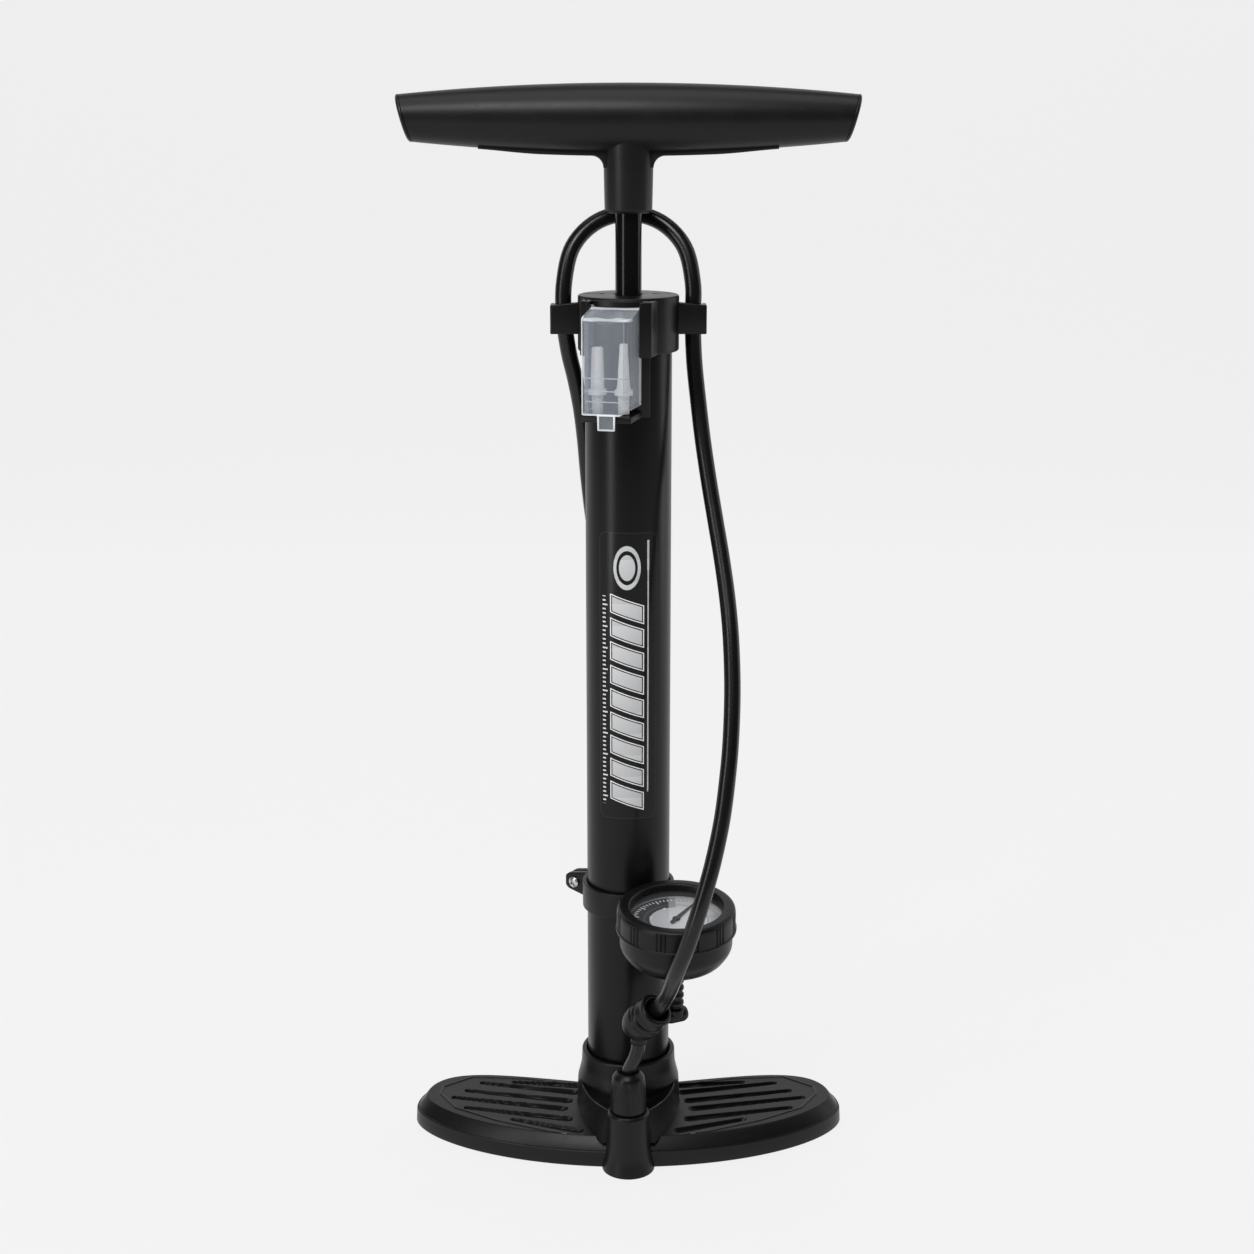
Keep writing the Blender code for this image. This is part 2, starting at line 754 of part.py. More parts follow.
def top_cap():
    boss_low = CAP_Z - CAP_BOSS
    seat_r = BUSH_R + GAP
    profile = [
        (ROD_R + RUN + 0.0002, CAP_Z),
        (CAP_R - 0.0008, CAP_Z),
        (CAP_R, CAP_Z - 0.0008),
        (CAP_R, CAP_LOW + 0.0020),
        (CAP_R - 0.0014, CAP_LOW),
        (CAP_INNER, CAP_LOW),
        (CAP_INNER, CAP_UNDER),
        (seat_r + 0.004, CAP_UNDER),
        (seat_r + 0.004, boss_low),
        (seat_r, boss_low),
        (seat_r, CAP_Z - CAP_LIP),
        (ROD_R + RUN + 0.0002, CAP_Z - CAP_LIP),
    ]
    cap = piece("top_cap", turned(profile, FINE, closed=True), moulded_black("cap_plastic"))
    join(cap, *hook(-1), *hook(1))
    holes = [
        piece(
            f"cut_key_hole_{side}",
            rod(0.0012, CAP_Z - 0.002, CAP_Z + CUTTER_REACH, 12),
            location=(side * 0.0128, 0.004, 0),
        )
        for side in (-1, 1)
    ]
    cut(cap, *holes)
    bush = turned(
        [
            (ROD_R + RUN, BUSH_LOW),
            (BUSH_FLANGE_R, BUSH_LOW),
            (BUSH_FLANGE_R, BUSH_LOW + BUSH_FLANGE),
            (BUSH_R, BUSH_LOW + BUSH_FLANGE),
            (BUSH_R, CAP_Z - CAP_LIP - GAP),
            (ROD_R + RUN, CAP_Z - CAP_LIP - GAP),
        ],
        closed=True,
    )
    piece("rod_bush", bush, white_nylon("bush_nylon"))


def hexagon(across, hole_r, low, high):
    """A hexagon nut's solid, with its round hole as a twelve-sided one."""
    corner = across / sqrt(3)
    around = hole_r / cos(pi / 12)
    bm = bmesh.new()
    inner, outer = [], []
    for height in (low, high):
        inner.append([bm.verts.new((*p, height)) for p in arc(around, 0, 2 * pi * 11 / 12, 12)])
        outer.append([bm.verts.new((*p, height)) for p in arc(corner, 0, 2 * pi * 5 / 6, 6)])
    for i in range(12):
        j = (i + 1) % 12
        bm.faces.new((inner[0][i], inner[0][j], inner[1][j], inner[1][i]))
    for i in range(6):
        j = (i + 1) % 6
        a, b, c = inner[0][2 * i], inner[0][2 * i + 1], inner[0][(2 * i + 2) % 12]
        bm.faces.new((outer[0][i], outer[0][j], c, b, a))
        a, b, c = inner[1][2 * i], inner[1][2 * i + 1], inner[1][(2 * i + 2) % 12]
        bm.faces.new((outer[1][i], a, b, c, outer[1][j]))
        bm.faces.new((outer[0][i], outer[1][i], outer[1][j], outer[0][j]))
    return bm


def piston_parts(slide, turn):
    """The piston slides; the rod with its nut and the handle also turns in it."""
    hole = STUD_R + RUN
    wall = BARREL_BORE - RUN
    head = turned(
        [
            (hole, HEAD_LOW),
            (wall - 0.0006, HEAD_LOW),
            (wall - 0.0006, HEAD_LOW + 0.005),
            (wall - 0.0030, HEAD_LOW + 0.005),
            (wall - 0.0030, HEAD_LOW + 0.009),
            (wall - 0.0006, HEAD_LOW + 0.009),
            (wall - 0.0006, HEAD_HIGH),
            (hole, HEAD_HIGH),
        ],
        closed=True,
    )
    piece("piston_head", head, white_nylon("piston_nylon"), slide)
    cup = turned(
        [
            (hole, CUP_LOW),
            (wall - CUP, CUP_LOW),
            (wall - CUP, CUP_LOW - CUP_SKIRT),
            (wall, CUP_LOW - CUP_SKIRT),
            (wall, CUP_LOW + CUP),
            (hole, CUP_LOW + CUP),
        ],
        closed=True,
    )
    piece("piston_cup", cup, rubber_black("cup_rubber"), slide)
    washer = ring(hole, WASHER_R, WASHER_LOW, WASHER_LOW + WASHER, SMALL)
    piece("piston_washer", washer, zinc("washer_steel"), slide)
    nut = hexagon(0.013, STUD_R + GAP, PISTON_NUT_Z, PISTON_NUT_Z + PISTON_NUT)
    piece("piston_nut", nut, zinc("nut_steel"), turn)
    plug = ROD_R - ROD_WALL - GAP
    foot = turned(
        [
            (0, PISTON_NUT_Z - 0.002),
            (STUD_R, PISTON_NUT_Z - 0.002),
            (STUD_R, ROD_LOW),
            (plug, ROD_LOW),
            (plug, ROD_LOW + FOOT_PLUG),
            (0, ROD_LOW + FOOT_PLUG),
        ],
        SMALL,
    )
    piece("rod_foot", foot, zinc("foot_steel"), turn)
    shaft = piece(
        "piston_rod",
        ring(ROD_R - ROD_WALL, ROD_R, ROD_LOW, ROD_HIGH, ROUND),
        painted_steel("rod_paint"),
        turn,
    )
    hole = rod(PIN_R + GAP, -0.02, 0.02, 12)
    cut(shaft, piece("cut_rod_pin", hole, location=(0, 0, PIN_Z), rotation=turn_to((1, 0, 0))))
    bumper = ring(ROD_R + GAP, BUMPER_R, ROD_LOW, ROD_LOW + BUMPER)
    piece("stop_bumper", bumper, rubber_black("bumper_rubber"), turn)


def grip_radius(x):
    return HANDLE_R - (HANDLE_R - HANDLE_END_R) * (x / HANDLE_HALF) ** 2


def slanted(bm):
    """Leans the ends of a body along X, so that the top is longer than the underside."""
    for v in bm.verts:
        v.co.x *= 1 + END_SLANT * v.co.z / HANDLE_HALF
    return bm


def along_x(profile, steps):
    """A body of revolution about X from (x, radius) points."""
    bm = turned([(r, x) for x, r in profile], steps)
    bmesh.ops.rotate(bm, verts=bm.verts, cent=(0, 0, 0), matrix=Matrix.Rotation(pi / 2, 3, "Y"))
    return bm


def strip_outline(grow, depth, proud, fillet):
    """The yoke's strip seen from the front, round the grip's underside. It is symmetrical."""
    half = STRIP_HALF + grow
    steps = 7
    xs = [half - (half - YOKE_TOP_R - YOKE_FILLET) * i / (steps - 1) for i in range(steps)]
    top = [(x, -grip_radius(x) + depth + grow) for x in xs]
    low = [(x, -grip_radius(x) - proud) for x in reversed(xs)]
    corner_x, corner_z = low[0]
    if fillet:
        bend = arc(YOKE_FILLET, pi / 2, pi, 5, (corner_x, corner_z - YOKE_FILLET))
        low = [*bend[::-1], *low[1:]]
    right = [(0, top[-1][1]), *top[::-1], *low[::-1]]
    right.append((0, low[0][1]))
    return right + [(-x, z) for x, z in right[-2:0:-1]]


def handle_parts(turn):
    at = (0, 0, HANDLE_Z)
    steps = 16
    xs = [HANDLE_HALF * (2 * i / steps - 1) for i in range(steps + 1)]
    profile = [(-HANDLE_HALF, 0), *[(x, grip_radius(x)) for x in xs], (HANDLE_HALF, 0)]
    grip = piece(
        "handle_grip", slanted(along_x(profile, 40)), moulded_black("grip_plastic"), turn, at
    )
    top = -0.0045
    half = STRIP_WIDTH / 2
    slot = prism(strip_outline(GAP, STRIP_DEPTH, 0.008, False), -half - GAP, half + GAP, "Y")
    bore = along_x(tube_profile(HANDLE_BORE_R, HANDLE_HALF * 1.1), SMALL)
    cut(
        grip,
        piece("cut_grip_bore", bore, location=at),
        piece("cut_grip_hub", rod(YOKE_TOP_R + GAP, -0.025, top, ROUND), location=at),
        piece("cut_grip_strip", slot, location=at),
    )
    yoke = turned(
        [
            (0, YOKE_LOW - HANDLE_Z),
            (YOKE_R - 0.0008, YOKE_LOW - HANDLE_Z),
            (YOKE_R, YOKE_LOW - HANDLE_Z + 0.0008),
            (YOKE_TOP_R, -HANDLE_R - STRIP_PROUD),
            (YOKE_TOP_R, top - GAP - 0.0005),
            (0, top - GAP - 0.0005),
        ]
    )
    yoke = piece("handle_yoke", yoke, moulded_black("yoke_plastic"), turn, at)
    strip = prism(strip_outline(0, STRIP_DEPTH, STRIP_PROUD, True), -half, half, "Y")
    join(yoke, piece("add_strip", strip, location=at))
    socket = rod(ROD_R + GAP, YOKE_LOW - CUTTER_REACH, ROD_HIGH + GAP)
    pin_hole = rod(PIN_R + GAP, -0.02, 0.02, 12)
    cut(
        yoke,
        piece("cut_yoke_socket", socket),
        piece("cut_yoke_pin", pin_hole, location=(0, 0, PIN_Z), rotation=turn_to((1, 0, 0))),
    )
    pin = rod(PIN_R, -0.0105, 0.0105, 12)
    piece("handle_pin", pin, zinc("pin_steel"), turn, (0, 0, PIN_Z), turn_to((1, 0, 0)))
    for name, side in (("handle_end_cap_left", -1), ("handle_end_cap_right", 1)):
        face = HANDLE_HALF + GAP
        rim = HANDLE_END_R
        profile = [
            (face - 0.010, 0),
            (face - 0.010, HANDLE_BORE_R - 2 * GAP),
            (face, HANDLE_BORE_R - 2 * GAP),
            (face, rim),
            (face + END_CAP * 0.6, rim - 0.0001),
            (face + END_CAP, rim - 0.0010),
            (face + END_CAP, 0),
        ]
        cap = along_x([(side * x, r) for x, r in profile], SMALL + 4)
        piece(name, slanted(cap), moulded_black(f"{name}_plastic"), turn, at)


def tube_profile(radius, half):
    return [(-half, 0), (-half, radius), (half, radius), (half, 0)]


# Gauge


def gauge_case(face):
    """The cup with the clamp ring that holds it on the barrel."""
    rim = -BEZEL_TOP - GAP - LENS - GAP
    inner = CUP_R - CUP_WALL
    ledge = rim - 0.0036
    bowl_outer = [
        (CUP_LOWER_R - 0.0008, -CUP_STRAIGHT - 0.0030),
        (CUP_LOWER_R - 0.0040, -CUP_STRAIGHT - 0.0082),
        (CUP_LOWER_R - 0.0100, -CUP_STRAIGHT - 0.0124),
        (0.0100, -CUP_BOTTOM + 0.0006),
        (0.0048, -CUP_BOTTOM),
        (0.0048, -CUP_BOTTOM - 0.0020),
    ]
    bowl_inner = [
        (0.0023, -CUP_BOTTOM - 0.0020),
        (0.0023, -CUP_BOTTOM + 0.0030),
        (0.0095, -CUP_BOTTOM + 0.0034),
        (inner - 0.0095, -CUP_STRAIGHT - 0.0100),
        (inner - 0.0042, -CUP_STRAIGHT - 0.0064),
        (inner - 0.0016, -CUP_STRAIGHT),
        (inner - 0.0016, ledge),
        (inner, ledge),
        (inner, rim),
    ]
    shoulder = -BEZEL_HEIGHT - GAP
    profile = [
        (CUP_R, rim),
        (CUP_R, shoulder),
        (CUP_LOWER_R, shoulder - 0.0004),
        (CUP_LOWER_R, -CUP_STRAIGHT),
        *bowl_outer,
        *bowl_inner,
    ]
    case = piece("gauge_case", turned(profile, FINE, closed=True), moulded_black("case_plastic"), face)
    toward = atan2(GAUGE_X, -GAUGE_Y)
    band = piece("add_band", ring(BAND_R, BAND_OUTER, BAND_LOW, BAND_HIGH, FINE))
    bridge = sector(
        BAND_R + 0.001, GAUGE_OUT - CUP_R + 0.0015, toward - 0.36, toward + 0.36,
        BAND_LOW + 0.0004, GAUGE_Z - BEZEL_HEIGHT + 0.0012, 6,
    )
    ears = prism(ear_outline(), -EAR_SLIT / 2 - EAR, EAR_SLIT / 2 + EAR, "Y")
    join(case, band, piece("add_bridge", bridge), piece("add_ears", ears, rotation=ear_turn()))
    relief = ring(CUP_R + GAP / 2, BEZEL_R + GAP, -BEZEL_HEIGHT - GAP, CUTTER_REACH, FINE)
    slit = box(
        (-EAR_REACH - 0.002, -EAR_SLIT / 2, BAND_LOW - 0.004),
        (-BAND_R * 0.7, EAR_SLIT / 2, BAND_HIGH + 0.004),
    )
    hole = rod(SCREW_R + GAP, -0.012, 0.012, 12)
    cut(
        case,
        piece("cut_bezel_way", relief, parent=face),
        piece("cut_slit", slit, rotation=ear_turn()),
        piece("cut_screw", hole, location=screw_point(0), rotation=turn_to(screw_axis())),
    )


def ear_outline():
    """A clamp ear seen from the front, at the left of the ring: it narrows outwards."""
    return [
        (-BAND_R - 0.001, BAND_LOW - 0.0010),
        (-BAND_R - 0.001, BAND_HIGH),
        (-EAR_REACH + 0.002, SCREW_Z + 0.0042),
        (-EAR_REACH, SCREW_Z + 0.0026),
        (-EAR_REACH, SCREW_Z - 0.0030),
        (-EAR_REACH + 0.002, SCREW_Z - 0.0046),
    ]


def ear_turn():
    return Matrix.Rotation(-EAR_TURN, 3, "Z").to_quaternion()


def screw_axis():
    """The direction that the screw's head faces: along the ring, towards the front."""
    return ear_turn() @ Vector((0, -1, 0))


def screw_point(forward):
    return ear_turn() @ Vector((-SCREW_OUT, -forward, SCREW_Z))


def clamp_fasteners():
    outer = EAR_SLIT / 2 + EAR
    screw = turned(
        [
            (0, outer + GAP + SCREW_HEAD),
            (SCREW_HEAD_R * 0.6, outer + GAP + SCREW_HEAD),
            (SCREW_HEAD_R, outer + GAP + SCREW_HEAD * 0.5),
            (SCREW_HEAD_R, outer + GAP),
            (SCREW_R, outer + GAP),
            (SCREW_R, -outer - 0.0035),
            (0, -outer - 0.0035),
        ],
        SMALL,
    )
    turn = turn_to(screw_axis())
    piece("clamp_screw", screw, zinc("screw_zinc"), location=screw_point(0), rotation=turn)
    nut = hexagon(0.0055, SCREW_R + GAP, -outer - GAP - 0.0024, -outer - GAP)
    piece("clamp_nut", nut, zinc("clamp_nut_zinc"), location=screw_point(0), rotation=turn)


def gauge_parts(face, needle):
    bezel = turned(
        [
            (BEZEL_OPENING_R, -BEZEL_TOP),
            (BEZEL_OPENING_R + 0.0008, -0.0004),
            (BEZEL_OPENING_R + 0.0014, 0),
            (BEZEL_R - 0.0020, 0),
            (BEZEL_R - 0.0006, -0.0006),
            (BEZEL_R, -0.0020),
            (BEZEL_R, -BEZEL_HEIGHT),
            (CUP_R + GAP, -BEZEL_HEIGHT),
            (CUP_R + GAP, -BEZEL_TOP),
        ],
        FINE,
        closed=True,
    )
    piece("gauge_bezel", bezel, moulded_black("bezel_plastic"), face)
    top = -BEZEL_TOP - GAP
    piece("gauge_lens", rod(CUP_R - 0.0006, top - LENS, top, FINE), clear_plastic("lens_clear"), face)
    rim = top - LENS - GAP
    dial_low = rim - 0.0036 + GAP
    dial = ring(0.0012, DIAL_R, dial_low, dial_low + DIAL, FINE)
    piece("gauge_dial", dial, finish("dial_print", (0.55, 0.57, 0.6), 0.35, 0.4), face)
    low = dial_low + DIAL + 0.0006
    pointer = [
        (-0.0050, -0.0009),
        (0.0, -0.0011),
        (NEEDLE_LENGTH, -0.0002),
        (NEEDLE_LENGTH, 0.0002),
        (0.0, 0.0011),
        (-0.0050, 0.0009),
    ]
    hand = piece(
        "gauge_needle",
        prism(pointer, low, low + 0.0005),
        finish("needle_paint", (0.02, 0.02, 0.02), 0.4),
        needle,
    )
    join(hand, piece("add_needle_hub", rod(0.0018, low - 0.0002, low + 0.0010, 16), parent=needle))
    arbor = turned(
        [
            (0, low - 0.0005),
            (0.0007, low - 0.0005),
            (0.0007, low - 0.0055),
            (0.0016, low - 0.0055),
            (0.0016, low - 0.0075),
            (0, low - 0.0075),
        ],
        12,
    )
    piece("needle_arbor", arbor, brass("arbor_brass"), needle)
    depth = -0.0190
    plate = piece(
        "gauge_movement_plate",
        ring(0.0011, 0.0080, dial_low - 0.0034, dial_low - 0.0024, SMALL),
        brass("movement_brass"),
        face,
    )
    post = box((0.0040, -0.0020, depth - 0.0019 + GAP), (0.0072, 0.0020, dial_low - 0.0030))
    join(plate, piece("add_plate_post", post, parent=face))
    points = [
        face.matrix_basis @ Vector((BOURDON_R * cos(t), BOURDON_R * sin(t), depth))
        for t in (radians(24 + 270 * i / 26) for i in range(27))
    ]
    tube("gauge_bourdon_tube", points, 0.0016, brass("bourdon_brass"), 1)
    socket = piece(
        "gauge_socket",
        rod(0.0042, -CUP_BOTTOM + 0.0030 + GAP + 0.0004, depth - 0.0030, SMALL),
        brass("socket_brass"),
        face,
    )
    arm = box((0, -0.0022, depth - 0.0046), (BOURDON_R + 0.0020, 0.0022, depth - 0.0019))
    join(socket, piece("add_socket_arm", arm, parent=face))
    start = -CUP_BOTTOM - 0.0020 - GAP
    ribs, pitch = 4, 0.0042
    profile = [(0.0012, start), (0.0044, start), (0.0044, start - 0.0012)]
    for i in range(ribs):
        low = start - 0.0016 - pitch * i
        profile += [(STEM_R, low), (STEM_RIB_R, low - 0.0010)]
        profile += [(STEM_RIB_R, low - 0.0024), (STEM_R, low - 0.0034)]
    profile += [(STEM_R, -STEM_END), (0.0012, -STEM_END)]
    piece("gauge_stem", turned(profile, SMALL, closed=True), rubber_black("stem_rubber"), face)


def tee_parts(face):
    """The fitting where the feed hose, the gauge's stem and the long hose meet."""
    body = turned(
        [
            (0, -TEE_R),
            (TEE_R * 0.5, -TEE_R * 0.87),
            (TEE_R * 0.87, -TEE_R * 0.5),
            (TEE_R, 0),
            (TEE_R, TEE_BODY - 0.0006),
            (TEE_R - 0.0006, TEE_BODY),
            (0, TEE_BODY),
        ]
    )
    fitting = piece(
        "tee_fitting", body, moulded_black("tee_plastic"), location=TEE, rotation=turn_to(TEE_AXIS)
    )
    seat = face.matrix_basis @ Vector((0, 0, -STEM_END))
    axis_down = face.matrix_basis.to_3x3() @ Vector((0, 0, -1))
    end = seat + axis_down * (ARM_R + GAP)
    along = (end - TEE).normalized()
    length = (end - TEE).length
    arm = turned(
        [
            (0, 0),
            (ARM_R, 0),
            (ARM_R, length + 0.0050),
            (ARM_R * 0.75, length + 0.0068),
            (0, length + 0.0068),
        ],
        SMALL,
    )
    pad = rod(0.0046, 0, ARM_R, SMALL)
    spout_low = Vector(FEED_ROUTE[0])
    spout_way = (spout_low - TEE).normalized()
    spout = rod(0.0046, 0, (spout_low - TEE).length - GAP, SMALL)
    join(
        fitting,
        piece("add_arm", arm, location=TEE, rotation=turn_to(along)),
        piece("add_pad", pad, location=end, rotation=turn_to(-axis_down)),
        piece("add_spout", spout, location=TEE, rotation=turn_to(spout_way)),
    )
    low = TEE_BODY + GAP
    high = low + TEE_NUT
    nut = turned(
        [
            (HOSE_R + 0.0006, low),
            (TEE_NUT_R - 0.0012, low),
            (TEE_NUT_R, low + 0.0014),
            (TEE_NUT_R - 0.0008, high - 0.0032),
            (TEE_NUT_R - 0.0006, high - 0.0006),
            (TEE_NUT_R - 0.0014, high),
            (HOSE_R + 0.0026, high),
            (HOSE_R + 0.0012, high - 0.0024),
            (HOSE_R + 0.0006, high - 0.0030),
        ],
        closed=True,
    )
    piece("tee_nut", nut, moulded_black("tee_nut_plastic"), location=TEE, rotation=turn_to(TEE_AXIS))


# Accessory box


def accessory_bracket(side):
    shelf_high = BOX_LOW - GAP - 0.0002
    shelf_low = shelf_high - SHELF
    outer = PLATE_R + PLATE
    plate_top = BOX_BACK_HIGH + 0.0028
    left, right = radians(-33), radians(38)
    bracket = piece(
        "accessory_bracket",
        sector(PLATE_R, outer, left, right, shelf_low, plate_top),
        moulded_black("bracket_plastic"),
        side,
    )
    shelf = [
        (BOX_LEFT, -BOX_FRONT + BOX_WALL + 0.0005),
        (BOX_RIGHT, -BOX_FRONT + BOX_WALL + 0.0005),
        (BOX_RIGHT, -sqrt((outer - 0.001) ** 2 - BOX_RIGHT**2)),
        (BOX_LEFT, -sqrt((outer - 0.001) ** 2 - BOX_LEFT**2)),
    ]
    cheeks = [
        piece(
            f"add_cheek_{name}",
            prism(
                [
                    (near, -PLATE_R - 0.0064),
                    (far, -PLATE_R - 0.0037),
                    (far, -sqrt(PLATE_R**2 - far**2)),
                    (near, -sqrt((outer - 0.0005) ** 2 - near**2)),
                ],
                CAP_LOW,
                plate_top,
            ),
            parent=side,
        )
        for name, near, far in (
            ("left", BOX_LEFT - GAP, BOX_LEFT - 0.0052),
            ("right", BOX_RIGHT + GAP, BOX_RIGHT + 0.0058),
        )
    ]
    pegs = [
        piece(
            f"add_peg_{i}",
            rod(PEG_R, shelf_low + 0.001, BOX_LOW + 0.006, 12),
            parent=side,
            location=(x, ADAPTER_Y, 0),
        )
        for i, x in enumerate((STRAIGHT_X, CONE_X))
    ]
    join(bracket, piece("add_shelf", prism(shelf, shelf_low, shelf_high), parent=side), *cheeks, *pegs)
    socket = PIVOT_BUMP + 2 * GAP
    pivot = rod(PIVOT_R + GAP, BOX_LEFT - socket, BOX_RIGHT + socket, 12)
    at = (0, PIVOT_Y, PIVOT_Z)
    cut(
        bracket,
        piece("cut_pivot", pivot, parent=side, location=at, rotation=turn_to((1, 0, 0))),
        piece("cut_cap_way", rod(PLATE_R, CAP_LOW - 0.05, CAP_Z + 0.01, FINE), parent=side),
    )


def box_outline(grow, back_r):
    """The accessory cover's plan: three straight sides, and a back that follows the cap."""
    left, right, front = BOX_LEFT + grow, BOX_RIGHT - grow, -BOX_FRONT + grow
    start = asin(right / back_r) - pi / 2
    end = asin(left / back_r) - pi / 2
    return [(left, front), (right, front), *arc(back_r, start, end, 9)]


def accessory_cover(pivot):
    """The clear cover: front, two sides and a top that slopes forward, open at back and below."""
    shift = (0, -PIVOT_Y, -PIVOT_Z)
    rise = BOX_BACK_HIGH - BOX_HIGH

    def roof(outline, drop):
        low = [(x, y, BOX_LOW - (CUTTER_REACH if drop else 0)) for x, y in outline]
        high = []
        for x, y in outline:
            share = min(1.0, (BOX_FRONT + y) / (BOX_FRONT - BOX_BACK_R))
            high.append((x, y, BOX_HIGH + rise * share - drop))
        return stacked([low, high])

    shell = roof(box_outline(0, BOX_BACK_R), 0)
    cover = piece("accessory_cover", shell, clear_plastic("cover_clear"), pivot, shift)
    inner = [
        (BOX_LEFT + BOX_WALL, -BOX_FRONT + BOX_WALL),
        (BOX_RIGHT - BOX_WALL, -BOX_FRONT + BOX_WALL),
        (BOX_RIGHT - BOX_WALL, -BARREL_R * 0.7),
        (BOX_LEFT + BOX_WALL, -BARREL_R * 0.7),
    ]
    tab_back = -BOX_FRONT + BOX_WALL
    tab = box((TAB_LEFT, -BOX_FRONT, TAB_LOW), (TAB_RIGHT, tab_back, BOX_LOW + 0.004))
    bumps = [
        piece(
            f"add_pivot_{i}",
            rod(PIVOT_R, *span, 12),
            parent=pivot,
            rotation=turn_to((1, 0, 0)),
        )
        for i, span in enumerate(
            (
                (BOX_LEFT - PIVOT_BUMP, BOX_LEFT + BOX_WALL / 2),
                (BOX_RIGHT - BOX_WALL / 2, BOX_RIGHT + PIVOT_BUMP),
            )
        )
    ]
    cut(cover, piece("cut_cover_inside", roof(inner, BOX_WALL), parent=pivot, location=shift))
    join(cover, piece("add_tab", tab, parent=pivot, location=shift), *bumps)
    slot = 0.0009
    for i, x in enumerate((TAB_LEFT - slot, TAB_RIGHT)):
        gap = box(
            (x, -BOX_FRONT - CUTTER_REACH, BOX_LOW - CUTTER_REACH),
            (x + slot, tab_back + CUTTER_REACH, BOX_LOW + 0.006),
        )
        cut(cover, piece(f"cut_tab_slot_{i}", gap, parent=pivot, location=shift))


def adapters(side):
    low = BOX_LOW - 0.0002
    bore = PEG_R + GAP
    flange = [(0.0027, low + 0.0085), (0.0044, low + 0.0090), (0.0044, low + 0.0112)]
    foot = [(bore, low), (0.0027, low), *flange]
    cone = [*foot, (0.0034, low + 0.0116), (0.00185, low + 0.0330), (bore, low + 0.0330)]
    straight = [*foot, (0.0033, low + 0.0116), (0.00275, low + 0.0305)]
    straight += [(0.0022, low + 0.0312), (bore, low + 0.0312)]
    for name, profile, x in (("cone_nozzle", cone, CONE_X), ("valve_adapter", straight, STRAIGHT_X)):
        piece(
            name,
            turned(profile, SMALL, closed=True),
            white_nylon(f"{name}_nylon"),
            side,
            (x, ADAPTER_Y, 0),
        )


# Hose and chuck


def hose_route():
    """The route fitted to the tee, the gauge, the hooks and the barrel."""
    wider = BARREL_R - ROUTE_BARREL_R
    forward = (GAUGE_Y - ROUTE_GAUGE_Y) - (BEZEL_R - ROUTE_BEZEL_R)
    spread = HOOK_REACH / ROUTE_REACH - 1
    rise = CAP_Z - ROUTE_CAP_Z
    fitted = []
    for i, (x, y, z) in enumerate(HOSE_ROUTE):
        at_gauge = min(1.0, i / 4)
        at_hook = min(1.0, max(0.0, (i - ROUTE_FREE) / (ROUTE_HOOKED - ROUTE_FREE)))
        shift = (forward * at_gauge - wider * (1 - at_gauge)) * (1 - at_hook)
        if i > ROUTE_HOOKED + 2:
            shift = wider
        fitted.append((x * (1 + spread * at_hook), y + shift, z + rise * at_hook))
    return fitted


